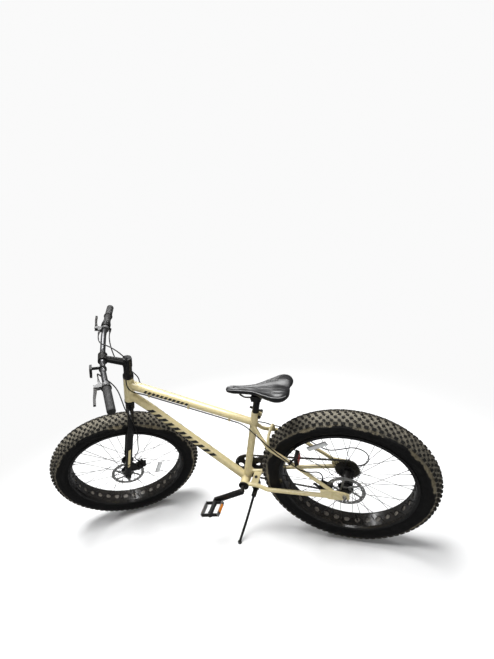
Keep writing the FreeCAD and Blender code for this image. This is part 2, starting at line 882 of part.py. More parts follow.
barrel_end = perch_width / 2 + 27
left_perch_place = left_grip_length + perch_width / 2 + 4
twist_place = right_grip_length + 1
housing_place = twist_place + twist_length + 1
right_perch_place = housing_place + housing_length + perch_width / 2 + 3


def twist_grip():
    bore = bar_radius + running_gap
    outline = [(bore, 0), (bore, twist_length), (grip_radius, twist_length), (grip_radius, 20),
               (twist_radius, 14), (twist_radius, 0)]
    return moved(lathe(outline, zero), bar_frame(-1, twist_place + twist_length))


def shifter_housing():
    ring = sleeve(zero, across * housing_length, housing_radius, bar_radius)
    place = Vector(-shift_barrel_back, 0, shift_barrel_drop)
    barrel = rod(place + across * 6, place - across * shift_barrel_length, barrel_radius)
    return moved(fused([ring, barrel]), bar_frame(-1, housing_place + housing_length))


def front_reflector():
    ring = sleeve(across * -5, across * 5, bar_radius + 4, bar_radius)
    neck = box_between(Vector(bar_radius - 2, -4, 1), Vector(40, 4, 11))
    back = box_between(Vector(40, -32, -22), Vector(48, 32, 14))
    bar_cut = rod(across * -60, across * 60, bar_radius)
    return moved(fused([ring, neck.cut(bar_cut), back]), bar_rise_frame(1))


def steering_nodes():
    stem, bolts = stem_pieces()
    shapes = {
        "fork": fork(),
        "headset_spacers": headset_spacers(),
        "stem": stem,
        "stem_bolts": bolts,
        "handlebar": handlebar(),
        "grips": Part.makeCompound([grip(1, left_grip_length), grip(-1, right_grip_length)]),
        "brake_perches": Part.makeCompound([perch(1, left_perch_place), perch(-1, right_perch_place)]),
        "left_brake_lever": lever(1, left_perch_place),
        "right_brake_lever": lever(-1, right_perch_place),
        "twist_grip": twist_grip(),
        "shifter_housing": shifter_housing(),
        "front_reflector": front_reflector(),
        "front_caliper": Part.makeCompound(caliper(steered_axle, front_radial, front_rotor_side, -1)),
        "front_caliper_arm": caliper_arm(steered_axle, front_radial, front_rotor_side, -1)}
    return {name: moved(shape, steer_matrix) for name, shape in shapes.items()}


# Frame

top_run = unit(top_rear - top_front)
top_under = unit(top_run.cross(across))
down_start = head_base + head_up * down_tube_rise
down_knee = down_start + (bracket - down_start) * 0.17 + Vector(4, 0, 13)
down_run = unit(bracket - down_knee)
down_upper = unit(down_run.cross(across)) * -1
lug_centre = seat_top - seat_up * (lug_size * 0.9) + seat_back * (seat_tube_radius + lug_size * 0.35)
lug_half_width = 11.0


def both_sides(points, side):
    return [Vector(point.x, side * point.y, point.z) for point in points]


def cable_place(share, side):
    # A place on the line that a cable keeps under the top tube, as a share of the tube's length.
    radius = top_front_radius + (top_rear_radius - top_front_radius) * share
    on_axis = top_front + (top_rear - top_front) * share
    return on_axis + across * (side * cable_side) + top_under * (radius + cable_stand_off)


def head_tube_solid():
    return rod(head_base, head_base + head_up * head_length, head_radius)


def shell_solid():
    half = across * (shell_width / 2)
    return rod(bracket - half, bracket + half, shell_radius)


def seat_tube_solid():
    return rod(bracket, seat_top, seat_tube_radius)


def top_tube_solid(thinner=0.0):
    # The ends are set back a little so that the saddle cuts have no thin horns.
    start = top_front + top_run * (head_radius * end_set_back)
    end = top_rear - top_run * (seat_tube_radius * end_set_back)
    return taper(start, end, top_front_radius - thinner, top_rear_radius - thinner)


def down_tube_solid(thinner=0.0):
    return pipe([down_start, down_knee, bracket], down_radius - thinner, down_bend)


def seat_tube():
    lug = moved(Part.makeBox(lug_size, 2 * lug_half_width, lug_size), axes_matrix(
        lug_centre - seat_back * (lug_size / 2) - across * lug_half_width + seat_up * (lug_size / 2),
        seat_back, across, seat_up * -1))
    bore = rod(bracket, seat_top + seat_up * lug_size, post_radius + running_gap)
    slit = moved(Part.makeBox(seat_tube_radius + 2 * lug_size, clamp_slit, slit_length * 2), axes_matrix(
        seat_top - across * (clamp_slit / 2) + seat_up * slit_length, seat_back, across, seat_up * -1))
    through = across * (2 * lug_half_width)
    hole = rod(lug_centre - through, lug_centre + through, skewer_radius)
    return seat_tube_solid().fuse(lug).cut([bore, slit, hole, shell_solid()])


def top_tube():
    guides = []
    holes = []
    for share in guide_shares:
        for side in (1, -1):
            place = cable_place(share, side)
            size = Vector(guide_length, guide_width, 3 * guide_width)
            corner = Vector(-size.x / 2, -size.y / 2, guide_width / 2 - size.z)
            block = Part.makeBox(size.x, size.y, size.z, corner)
            guides.append(moved(block, axes_matrix(place, top_run, across, top_under)))
            line = unit(cable_place(1, side) - cable_place(0, side)) * guide_length
            holes.append(rod(place - line, place + line, cable_radius + running_gap))
    shape = fused([top_tube_solid()] + guides)
    return shape.cut(holes + [top_tube_solid(tube_wall), head_tube_solid(), seat_tube_solid()])


def boss_place(distance):
    return bracket - down_run * distance + down_upper * (down_radius + boss_height)


def down_tube():
    inserts = []
    holes = []
    for distance in boss_places:
        mouth = boss_place(distance)
        foot = mouth - down_upper * (boss_depth + boss_height)
        inserts.append(rod(foot, mouth, boss_radius))
        holes.append(rod(foot - down_upper, mouth + down_upper, boss_hole))
    shape = fused([down_tube_solid().cut(down_tube_solid(tube_wall))] + inserts)
    return shape.cut(holes + [head_tube_solid(), shell_solid(), seat_tube_solid(), top_tube_solid()])


def dropout(side):
    near = side * rear_dropout
    far = side * (rear_dropout + frame_dropout_thickness)
    if side > 0:
        outline = [(-18, -14), (14, -24), (66, -25), (97, -2), (97, 24), (66, 30), (40, 26), (0, 19), (-18, 10)]
    else:
        low = -hanger_drop - 12
        outline = [(-18, -14), (hanger_x - 14, low), (hanger_x + 14, low), (hanger_x + 18, -25), (66, -25),
                   (72, 0), (66, 30), (40, 26), (0, 19), (-18, 10)]
    shape = plate(outline, near, far).cut(rod(zero, across * (far * 2), axle_radius))
    if side < 0:
        hole = Vector(hanger_x, 0, -hanger_drop)
        shape = shape.cut(rod(hole, hole + across * (far * 2), hanger_bolt_radius))
    return shape


def chainstay_route(side):
    points = [bracket + Vector(-6, 38, -2), bracket + Vector(-63, 42, -2), round_tyre(-26.3, -5.71, 14),
              Vector(stay_end, rear_dropout - 3, -15)]
    return both_sides(points, side)


def seatstay_route(side):
    root = seat_top - seat_up * (top_tube_drop + 8)
    points = [root + across * 9, root + Vector(-22, 24, -46), round_tyre(-7.6, 36.43, 7),
              round_tyre(-83.45, 38.72, 24), Vector(stay_end - 2, rear_dropout - 3, 11)]
    return both_sides(points, side)


def rear_triangle():
    chainstay_solids = [pipe(chainstay_route(side), chainstay_radius, stay_bend) for side in (1, -1)]
    lower = []
    for side, stay in zip((1, -1), chainstay_solids):
        lower.append(fused([stay.cut(shell_solid()), dropout(side)]))
    plate_half = chainstay_route(1)[1].y
    height = chainstay_route(1)[1].z
    stand_plate = box_between(
        Vector(stand_x - stand_plate_half_length, -plate_half, height - stand_plate_thickness / 2),
        Vector(stand_x + stand_plate_half_length, plate_half, height + stand_plate_thickness / 2))
    lower.append(stand_plate.cut(chainstay_solids + [stand_bolt_rod(stand_bolt_radius)]))
    seatstay_solids = [pipe(seatstay_route(side), seatstay_radius, stay_bend) for side in (1, -1)]
    upper = []
    for side, stay in zip((1, -1), seatstay_solids):
        upper.append(stay.cut([seat_tube_solid(), top_tube_solid(), dropout(side)]))
    foot = seatstay_route(1)[2]
    arch = both_sides([foot, foot + Vector(-4, -12, 48)], 1)
    arch += both_sides(arch, -1)[::-1]
    upper.append(pipe(arch, bridge_radius, 32.0).cut(seatstay_solids))
    return Part.makeCompound(lower), Part.makeCompound(upper)


def stand_bolt_rod(radius):
    centre = Vector(stand_x, 0, chainstay_route(1)[1].z)
    return rod(centre - upright * stand_bolt_reach,
               centre + upright * (stand_plate_thickness / 2 + stand_bolt_head_height), radius)


def bearing_cups():
    bore = steerer_radius + running_gap
    cups = [sleeve(head_base - head_up * cup_height, head_base, cup_radius, bore),
            sleeve(head_base + head_up * head_length, head_base + head_up * (head_length + cup_height),
                   cup_radius, bore)]
    for side in (1, -1):
        inner = bracket + across * (side * (shell_width / 2 - cup_height))
        face = bracket + across * (side * shell_width / 2)
        outer = face + across * (side * cup_flange)
        cup = fused([rod(inner, face, shell_bore), rod(face, outer, cup_radius)])
        cups.append(cup.cut(rod(inner - across * (side * 5), outer + across * (side * 5),
                                spindle_radius + running_gap)))
    return Part.makeCompound(cups)


def frame_bolts():
    nut_end = lug_half_width + skewer_nut_length
    head_end = lug_half_width + skewer_head_length
    skewer = fused([rod(lug_centre - across * head_end, lug_centre + across * nut_end, skewer_radius),
                    rod(lug_centre + across * lug_half_width, lug_centre + across * nut_end,
                        skewer_nut_radius),
                    rod(lug_centre - across * head_end, lug_centre - across * lug_half_width,
                        skewer_head_radius)])
    pieces = [skewer]
    face = rear_rotor_side + rotor_thickness + caliper_outer
    for reach in caliper_bolt_reaches:
        place = rear_radial * reach - rear_tangent * caliper_bolt_offset
        pieces.append(rod(place + across * face, place + across * rear_dropout, caliper_bolt_radius))
    plate_top = Vector(stand_x, 0, chainstay_route(1)[1].z + stand_plate_thickness / 2)
    bolt_head = rod(plate_top, plate_top + upright * stand_bolt_head_height, stand_bolt_head_radius)
    bolt = fused([stand_bolt_rod(stand_bolt_radius), bolt_head])
    pieces.append(bolt.cut(stand_bracket_block()))
    return Part.makeCompound(pieces)


def rear_reflector():
    route = seatstay_route(1)
    run = unit(route[4] - route[3])
    centre = route[3] + (route[4] - route[3]) * reflector_place
    ring = sleeve(centre - run * reflector_ring_half_length, centre + run * reflector_ring_half_length,
                  seatstay_radius + reflector_ring_wall, seatstay_radius)
    out = unit(upright - run * upright.dot(run))
    lens_reach = seatstay_radius + reflector_arm_length + reflector_half_height
    centre_lens = centre + out * lens_reach - forward * reflector_set_back
    body = rod(centre + out * (seatstay_radius + reflector_arm_foot),
               centre_lens + forward * reflector_arm_root, reflector_arm_radius)
    back = box_between(
        centre_lens - Vector(reflector_lens_face, reflector_half_width, reflector_half_height),
        centre_lens + Vector(reflector_back_depth, reflector_half_width, reflector_half_height))
    lens_side = reflector_half_width - reflector_lens_border
    lens_rise = reflector_half_height - reflector_lens_border
    lens = box_between(
        centre_lens - Vector(reflector_lens_face + reflector_lens_depth, lens_side, lens_rise),
        centre_lens + Vector(-reflector_lens_face, lens_side, lens_rise))
    return Part.makeCompound([fused([ring, body, back]), lens])


# Kickstand

stand_pivot = Vector(stand_x + stand_pivot_ahead, stand_pivot_side, -stand_pivot_drop)


def stand_bracket_block():
    top = chainstay_route(1)[1].z - stand_plate_thickness / 2
    foot = stand_pivot.z - stand_block_under
    return box_between(Vector(stand_x - stand_block_back, -stand_block_right, foot),
                       Vector(stand_x + stand_block_front, stand_pivot_side - stand_block_inset, top))


def stand_bracket():
    inner = stand_pivot - across * 26
    tip = stand_pivot + across * (rest_gap + stand_boss_width + 2)
    return fused([stand_bracket_block(), rod(inner, stand_pivot, stand_boss_radius),
                  rod(inner, tip, stand_pin_radius)])


def stand_leg():
    start = stand_pivot + across * rest_gap
    end = start + across * stand_boss_width
    boss = rod(start, end, stand_boss_radius)
    hole = rod(start - across, end + across, stand_pin_radius + running_gap)
    foot_low = ground_point(stand_foot_x, stand_foot_side)
    foot_high = foot_low + ground_normal * stand_foot_height
    hip = (start + end) * 0.5
    knee = Vector(stand_knee_x, hip.y + 4, -stand_knee_drop)
    leg = pipe([hip, knee, foot_low + ground_normal * (stand_foot_height * 0.6)], stand_leg_radius, 90.0)
    under = rod(foot_low - ground_normal * 40, foot_low, 40.0)
    return fused([boss.cut(hole), leg.cut(hole), rod(foot_low, foot_high, stand_foot_radius)]).cut(under)


# Ground under the leaned bicycle

def stance(pitch):
    turn = FreeCAD.Matrix()
    turn.rotateY(rad(pitch))
    turn.rotateX(rad(-lean_angle))
    return turn


def up_in_bicycle(pitch):
    return stance(pitch).inverse().multVec(upright)


def wheel_foot(centre, axle_way, up):
    core = tyre_radius - tyre_section
    return up.dot(centre) - core * math.sqrt(1 - up.dot(axle_way) ** 2) - tyre_section


front_axle = steered(steered_axle)
front_axle_way = unit(steered(steered_axle + across) - front_axle)


def foot_difference(pitch):
    up = up_in_bicycle(pitch)
    return wheel_foot(front_axle, front_axle_way, up) - wheel_foot(zero, across, up)


def level_pitch():
    low, high = -8.0, 8.0
    for step in range(60):
        middle = (low + high) / 2
        if (foot_difference(middle) > 0) == (foot_difference(low) > 0):
            low = middle
        else:
            high = middle
    return (low + high) / 2


pitch_angle = level_pitch()
ground_normal = up_in_bicycle(pitch_angle)
ground_level = wheel_foot(zero, across, ground_normal)


def ground_point(x, y):
    return Vector(x, y, (ground_level - ground_normal.x * x - ground_normal.y * y) / ground_normal.z)


# Drive

def pitch_radius(teeth):
    return teeth * chain_pitch / (2 * math.pi)


guide_centre = Vector(guide_x, chain_side, -guide_drop)


def tension_centre(angle):
    return guide_centre + polar(cage_length, angle)


def chain_circles(cage_angle):
    # Centre, pitch radius and turning sense of each wheel in the order that the chain meets them.
    return [(bracket, pitch_radius(ring_teeth), 1), (zero, pitch_radius(cog_in_use), 1),
            (guide_centre, pitch_radius(pulley_teeth), -1),
            (tension_centre(cage_angle), pitch_radius(pulley_teeth), 1)]


def tangent_points(circles, offset):
    # Leaving and arriving points of every straight run, with the chain's centre line moved outward.
    runs = []
    for index, (centre, radius, sense) in enumerate(circles):
        other, other_radius, other_sense = circles[(index + 1) % len(circles)]
        gap = other - centre
        distance = math.hypot(gap.x, gap.z)
        way = math.atan2(gap.z, gap.x) + math.asin((sense * radius - other_sense * other_radius) / distance)
        normal = Vector(math.sin(way), 0, -math.cos(way))
        runs.append((centre + normal * (sense * radius + offset),
                     other + normal * (other_sense * other_radius + offset)))
    return [(Vector(a.x, 0, a.z), Vector(b.x, 0, b.z)) for a, b in runs]


def around(centre, point):
    return math.atan2(point.z - centre.z, point.x - centre.x)


def chain_spans(cage_angle):
    # Alternate straight runs and wraps: length and a function from distance to place.
    circles = chain_circles(cage_angle)
    runs = tangent_points(circles, 0)
    spans = []
    for index, (start, end) in enumerate(runs):
        spans.append(("run", (end - start).Length, start, end))
        centre, radius, sense = circles[(index + 1) % len(circles)]
        first = around(centre, end)
        last = around(centre, runs[(index + 1) % len(runs)][0])
        wrap = (sense * (last - first)) % (2 * math.pi)
        spans.append(("wrap", wrap * radius, (centre, radius, sense), first))
    return spans


def chain_length(cage_angle):
    return sum(span[1] for span in chain_spans(cage_angle))


def settled_cage_angle():
    # The cage swings until the chain holds a whole number of link pairs.
    pair = 2 * chain_pitch
    target = pair * round(chain_length(cage_rest_guess) / pair)
    low, high = cage_rest_guess - 40, cage_rest_guess + 40
    for step in range(60):
        middle = (low + high) / 2
        if (chain_length(middle) > target) == (chain_length(high) > target):
            high = middle
        else:
            low = middle
    return (low + high) / 2


cage_angle = settled_cage_angle()
pulley_centre = tension_centre(cage_angle)


def roller_places():
    places = []
    phases = {}
    spans = chain_spans(cage_angle)
    total = round(sum(span[1] for span in spans) / chain_pitch)
    for index in range(total):
        distance = index * chain_pitch
        start = 0.0
        for number, (kind, length, data, first) in enumerate(spans):
            if distance < start + length or number == len(spans) - 1:
                local = distance - start
                if kind == "run":
                    places.append(data + (first - data) * (local / length))
                else:
                    centre, radius, sense = data
                    angle = first + sense * local / radius
                    places.append(Vector(centre.x + radius * math.cos(angle), 0,
                                         centre.z + radius * math.sin(angle)))
                    phases.setdefault(number // 2, math.degrees(angle))
                break
            start += length
    return places, phases


chain_rollers, sprocket_phases = roller_places()


def chain_loop(offset):
    circles = chain_circles(cage_angle)
    runs = tangent_points(circles, offset)
    edges = []
    for index, (start, end) in enumerate(runs):
        edges.append(Part.LineSegment(start, end).toShape())
        centre, radius, sense = circles[(index + 1) % len(circles)]
        following = runs[(index + 1) % len(runs)][0]
        first = around(centre, end)
        wrap = (sense * (around(centre, following) - first)) % (2 * math.pi)
        half = first + sense * wrap / 2
        reach = abs(sense * radius + offset)
        middle = Vector(centre.x + reach * math.cos(half), 0, centre.z + reach * math.sin(half))
        edges.append(Part.Arc(end, middle, following).toShape())
    return Part.Face(Part.Wire(edges))


def chain():
    depth = chain_half_width - roller_half_width
    band = chain_loop(chain_height / 2).cut(chain_loop(-chain_height / 2))
    solids = []
    for near in (chain_side - chain_half_width, chain_side + roller_half_width):
        side_plate = band.copy()
        side_plate.translate(across * near)
        solids += side_plate.extrude(across * depth).Solids
    low = across * (chain_side - roller_half_width)
    for place in chain_rollers:
        solids.append(rod(place + low, place + low + across * (2 * roller_half_width), roller_radius))
    return Part.makeCompound(solids)


def toothed_disc(centre, teeth, phase, middle, thickness):
    radius = pitch_radius(teeth)
    base = Vector(centre.x, middle - thickness / 2, centre.z)
    disc = rod(base, base + across * thickness, radius + tooth_height)
    gaps = []
    for index in range(teeth):
        place = base + polar(radius, phase + index * 360 / teeth)
        gaps.append(rod(place - across, place + across * (thickness + 1), tooth_gap_radius))
    return disc.cut(gaps)


def chainring():
    disc = toothed_disc(bracket, ring_teeth, sprocket_phases[3], chain_side, ring_thickness)
    windows = []
    for index in range(ring_windows):
        place = bracket + polar(window_circle, crank_angle + (index + 0.5) * 360 / ring_windows)
        through = across * (5 * ring_thickness)
        place = place + across * chain_side
        windows.append(rod(place - through, place + through, window_radius))
    outer = chain_side - ring_thickness / 2
    boss = rod(bracket + across * outer, bracket - across * crank_inner, boss_of_ring)
    hole = rod(bracket - across * 150, bracket + across * 150, spindle_radius)
    return fused([disc.cut(windows), boss]).cut(hole)


def crank_arms():
    solids = []
    for side, angle in ((1, crank_angle), (-1, crank_angle + 180)):
        eye = bracket + polar(crank_length, angle)
        near = side * crank_inner
        far = side * (crank_inner + crank_thickness)
        arm = stadium(bracket, eye, arm_radius, near, far)
        arm = arm.cut(rod(bracket - across * 150, bracket + across * 150, spindle_radius))
        start = Vector(eye.x, far, eye.z)
        solids += [arm, rod(start, start + across * (side * pedal_axle_length), pedal_axle_radius)]
    end = across * (crank_inner + crank_thickness)
    solids.append(rod(bracket - end, bracket + end, spindle_radius))
    return Part.makeCompound(solids)


def pedal(side):
    angle = crank_angle if side > 0 else crank_angle + 180
    eye = bracket + polar(crank_length, angle)
    start = crank_inner + crank_thickness + pedal_gap
    end = start + pedal_width
    hole = rod(across * (start - 1), across * (end + 1), pedal_axle_radius + running_gap)
    half = pedal_length / 2
    tall = pedal_height / 2
    core = [rod(across * start, across * end, pedal_axle_radius + 6)]
    for near, far in ((start, start + 9), (end - 9, end)):
        core.append(box_between(Vector(-half + cage_thickness, near, -tall * 0.6),
                                Vector(half - cage_thickness, far, tall * 0.6)))
    solids = [fused(core).cut(hole)]
    for end_x in (-half, half - cage_thickness):
        solids.append(box_between(Vector(end_x, start, -tall), Vector(end_x + cage_thickness, end, tall)))
    for end_x in (-half - 4, half):
        middle = (start + end) / 2
        solids.append(box_between(Vector(end_x, middle - 22, -7), Vector(end_x + 4, middle + 22, 7)))
    tilt = FreeCAD.Matrix()
    tilt.rotateY(rad(-pedal_tilt))
    if side < 0:
        tilt = FreeCAD.Matrix()
        tilt.rotateZ(math.pi)
    place = FreeCAD.Matrix()
    place.move(Vector(eye.x, 0, eye.z))
    return Part.makeCompound([moved(solid, place.multiply(tilt)) for solid in solids])


def freewheel():
    first = chain_side + cog_teeth.index(cog_in_use) * cog_spacing
    pieces = []
    for index, teeth in enumerate(cog_teeth):
        phase = sprocket_phases[0] if teeth == cog_in_use else 90.0
        pieces.append(toothed_disc(zero, teeth, phase, first - index * cog_spacing, cog_thickness))
    last = first - (len(cog_teeth) - 1) * cog_spacing
    core = rod(across * (first + 3), across * (last - cog_thickness / 2), freewheel_core)
    hole = rod(across * 150, across * -150, freewheel_bore + running_gap)
    return fused(pieces + [core]).cut(hole)


# Derailleur

link_way = unit(Vector(-0.1, 0, -1))
link_cross = link_way.cross(across)
link_top = Vector(hanger_x - 4, 0, -link_top_drop)
link_bottom = link_top + link_way * link_length
hanger_face = -rear_dropout - frame_dropout_thickness
inner_link_side = hanger_face - 4.5
outer_link_side = inner_link_side - link_spread
cheek_near = link_half_width + rest_gap


def link_frame(origin):
    return axes_matrix(origin, link_way, across, link_cross)


def cheeks(start, end, near, far):
    pieces = []
    for low in (cheek_near, -cheek_near - ear_thickness):
        pieces.append(box_between(Vector(start, far, low), Vector(end, near, low + ear_thickness)))
    reach = cheek_near + ear_thickness
    for side in (inner_link_side, outer_link_side):
        pieces.append(rod(Vector(0, side, -reach), Vector(0, side, reach), link_pin))
    return pieces


def derailleur_mount():
    far = outer_link_side - link_thickness / 2 - 2
    hanger = Vector(hanger_x, 0, -hanger_drop)
    knuckle = rod(hanger + across * hanger_face, hanger + across * far, 11.0)
    bolt = rod(hanger - across * rear_dropout, hanger + across * far, hanger_bolt_radius)
    pieces = [moved(piece, link_frame(link_top)) for piece in cheeks(-20, 4.5, hanger_face - rest_gap, far)]
    return fused([knuckle, bolt] + pieces)


def derailleur_link(side):
    half = link_thickness / 2
    bar = box_between(Vector(-4, side - half, -link_half_width),
                      Vector(link_length + 4, side + half, link_half_width))
    holes = [rod(Vector(x, side, -20), Vector(x, side, 20), link_pin + running_gap) for x in (0, link_length)]
    return moved(bar.cut(holes), link_frame(link_top))


def derailleur_knuckle():
    far = outer_link_side - link_thickness / 2 - 2
    near = chain_side - cage_half_width - cage_plate - rest_gap
    pieces = [moved(piece, link_frame(link_bottom)) for piece in cheeks(-4, 7, knuckle_back + 6, far)]
    start = Vector(guide_centre.x, near, guide_centre.z)
    end = Vector(guide_centre.x, knuckle_back, guide_centre.z)
    shape = fused([rod(start, end, cage_radius)] + pieces)
    return shape.cut(rod(start + across, end - across, stud_radius + running_gap))


def derailleur_cage():
    pieces = []
    for near, far in ((-cage_half_width - cage_plate, -cage_half_width),
                      (cage_half_width, cage_half_width + cage_plate)):
        pieces.append(stadium(guide_centre, pulley_centre, cage_radius - 1, chain_side + near, chain_side + far))
    reach = across * (cage_half_width + cage_plate)
    for centre in (guide_centre, pulley_centre):
        pieces.append(rod(centre - reach, centre + reach, pulley_pin))
    pieces.append(rod(guide_centre - reach, Vector(guide_centre.x, knuckle_back, guide_centre.z), stud_radius))
    return fused(pieces)


def pulley(centre, phase):
    disc = toothed_disc(centre, pulley_teeth, phase, chain_side, pulley_thickness)
    half = across * (cage_half_width - rest_gap)
    boss = rod(centre - half, centre + half, 7.0)
    hole = rod(centre - half * 2, centre + half * 2, pulley_pin + running_gap)
    return fused([disc, boss]).cut(hole)


# Seat

post_top = seat_top + seat_up * post_exposed
saddle_base = post_top.z + rail_height + 5
saddle_rear_x = post_top.x + saddle_nose_reach - saddle_length


def saddle_section(share, half, low, high, crest, dip):
    # Flat underside, rounded flanks drawn in below, two crests and the channel between them.
    x = saddle_rear_x + saddle_length * share

    def at(side, height):
        return Vector(x, side, height)
    under = half * 0.72
    belly = low + (high - low) * 0.45
    edges = [
        Part.LineSegment(at(-under, low), at(under, low)).toShape(),
        Part.Arc(at(under, low), at(half * 0.93, low + (belly - low) * 0.4), at(half, belly)).toShape(),
        Part.Arc(at(half, belly), at(half * 0.88, high - (high - belly) * 0.2), at(crest, high)).toShape(),
        Part.Arc(at(crest, high), at(0, high - dip), at(-crest, high)).toShape(),
        Part.Arc(at(-crest, high), at(-half * 0.88, high - (high - belly) * 0.2), at(-half, belly)).toShape(),
        Part.Arc(at(-half, belly), at(-half * 0.93, low + (belly - low) * 0.4), at(-under, low)).toShape()]
    return Part.Wire(edges)


def saddle():
    wide = saddle_half_width
    nose = saddle_nose_half_width
    base = saddle_base
    full = saddle_thickness
    rows = [(0.0, wide * 0.62, 14, full - 6, 0.60, 4.0), (0.06, wide * 0.90, 6, full, 0.55, 5.0),
            (0.18, wide, 2, full + 2, 0.50, 5.0), (0.36, wide * 0.80, 0, full - 3, 0.45, 5.0),
            (0.54, wide * 0.48, 0, full - 8, 0.42, 4.0), (0.72, nose * 1.35, 0, full - 9, 0.40, 2.0),
            (0.90, nose, 2, full - 9, 0.40, 1.0), (1.0, nose * 0.6, 12, full - 13, 0.40, 0.6)]
    sections = [saddle_section(share, half, base + low, base + high, half * crest, dip)
                for share, half, low, high, crest, dip in rows]
    return Part.makeLoft(sections, True, False)


def seat_post():
    foot = seat_top - seat_up * post_inserted
    post = rod(foot, post_top, post_radius)
    rail_z = post_top.z + rail_height
    low = Vector(post_top.x - 20, -rail_spread - 6, post_top.z - 6)
    high = Vector(post_top.x + 20, rail_spread + 6, rail_z)
    top_low = Vector(post_top.x - 18, -rail_spread - 6, rail_z)
    top_high = Vector(post_top.x + 18, rail_spread + 6, rail_z + 4.5)
    rails = []
    for side in (1, -1):
        spread = side * rail_spread
        front = saddle_rear_x + saddle_length * 0.80
        back = saddle_rear_x + saddle_length * 0.14
        points = [Vector(front, side * 7, saddle_base - 0.5), Vector(post_top.x + 46, spread, rail_z),
                  Vector(post_top.x - 44, spread, rail_z),
                  Vector(back, side * (rail_spread + 8), saddle_base - 0.5)]
        rails.append(pipe(points, rail_radius, 60.0))
    saddle_cut = saddle()
    rails = [rail.cut(saddle_cut) for rail in rails]
    lower = fused([post, box_between(low, high)]).cut(rails)
    upper = box_between(top_low, top_high).cut(rails)
    return Part.makeCompound([lower, upper] + rails)


def clamp_lever():
    centre = lug_centre - across * (lug_half_width + 3 + rest_gap + 7)
    cam = rod(centre - seat_up * 6, centre + seat_up * 6, 7.0)
    way = unit(seat_back * -1 - across * 0.18)
    side = unit(way.cross(seat_up))
    corners = [centre + side * 4 - seat_up * 4, centre + way * 52 + side * 3 - seat_up * 4,
               centre + way * 52 - side * 3 - seat_up * 4, centre - side * 4 - seat_up * 4]
    return fused([cam, prism(corners, seat_up * 8)])


# Cables

def front_brake_cable():
    frame = bar_frame(1, left_perch_place)
    start = frame.multVec(Vector(22, -barrel_end - rest_gap, 0))
    out = frame.multVec(Vector(22, -barrel_end - 30, 0))
    brake = axes_matrix(steered_axle, front_radial, across, front_radial.cross(across))
    stop = brake.multVec(Vector(arm_pin_place, front_rotor_side, -caliper_half_height - stop_height - rest_gap))
    above = brake.multVec(Vector(arm_pin_place, front_rotor_side, -caliper_half_height - stop_height - 42))
    points = [start, out, Vector(116, 88, 238), Vector(104, 66, 200), Vector(70, 54, 155), Vector(46, 52, 108),
              Vector(34, 57, 56), Vector(22, 67, 4), Vector(0, 84, -46), fork_side(-18, 14, 363),
              fork_side(-26, 10, 307), fork_side(-24, 6, 243), fork_side(-26, 2, 181), above, stop]
    return [steered(point) for point in points]


def fork_side(front, outside, height):
    # A place beside the left fork leg, measured from the leg and the front axle.
    return Vector(front, leg_spread + outside, height - fork_length)


def stay_side(route, share, out):
    # A place beside the straight stretch of a seatstay, above it and to its outer side.
    run = route[4] - route[3]
    up = unit(upright - unit(run) * upright.dot(unit(run)))
    outer = unit(across * route[4].y)
    return route[3] + run * share + unit(up * 0.6 + outer * 0.8) * out


def beside_head(front, side, height):
    # A place that stays with the frame, measured from the foot of the head tube.
    return head_base + head_front * front + across * side + head_up * height


def rear_brake_cable():
    frame = bar_frame(-1, right_perch_place)
    start = steered(frame.multVec(Vector(22, -barrel_end - rest_gap, 0)))
    out = steered(frame.multVec(Vector(22, -barrel_end - 28, 0)))
    bar_side = [Vector(104, -44, 286), Vector(70, -6, 300), Vector(28, 26, 286), Vector(-6, 44, 250)]
    points = [start, out] + [steered(point) for point in bar_side]
    hang = [beside_head(-24, 56, 204), beside_head(-22, 54, 156), beside_head(-22, 46, 112),
            beside_head(-38, 30, 80)]
    line = [cable_place(share, 1) for share in cable_line_shares]
    route = seatstay_route(1)
    out_by = seatstay_radius + cable_radius + stay_cable_gap
    radial_frame = axes_matrix(zero, rear_radial, across, rear_tangent)
    stop_top = caliper_half_height + stop_height
    stop = radial_frame.multVec(Vector(arm_pin_place, rear_rotor_side, stop_top + rest_gap))
    above = radial_frame.multVec(Vector(arm_pin_place, rear_rotor_side, stop_top + 60))
    stay = [round_tyre(57.1, 39.08, -5), round_tyre(11.8, 38.8, 8), round_tyre(-32.8, 39.67, 24),
            stay_side(route, 0.10, out_by + 6), stay_side(route, 0.38, out_by)]
    return points + hang + line + stay + [above, stop]


def shift_cable():
    frame = bar_frame(-1, housing_place + housing_length)
    place = Vector(-shift_barrel_back, 0, shift_barrel_drop)
    start = steered(frame.multVec(place - across * (shift_barrel_length + rest_gap)))
    out = steered(frame.multVec(place - across * (shift_barrel_length + 42)))
    bar_side = [Vector(62, -88, 216), Vector(44, -70, 166)]
    hang = [beside_head(-20, -48, 114), beside_head(-38, -30, 80)]
    line = [cable_place(share, -1) for share in cable_line_shares]
    route = seatstay_route(-1)
    out_by = seatstay_radius + cable_radius + stay_cable_gap
    stay = [round_tyre(57.1, 39.08, -5, -1), round_tyre(11.8, 38.8, 8, -1), round_tyre(-32.8, 39.67, 24, -1),
            stay_side(route, 0.10, out_by + 2), stay_side(route, 0.5, out_by),
            stay_side(route, 0.75, out_by + 6)]
    loop = [Vector(18, -88, 84), Vector(-34, -96, 92), Vector(-82, -100, 62), Vector(-92, -102, 12),
            Vector(-64, -102, -26)]
    end = Vector(hanger_x - 14, (hanger_face + outer_link_side) / 2, -hanger_drop - 2)
    return [start, out] + [steered(point) for point in bar_side] + hang + line + stay + loop + [end]


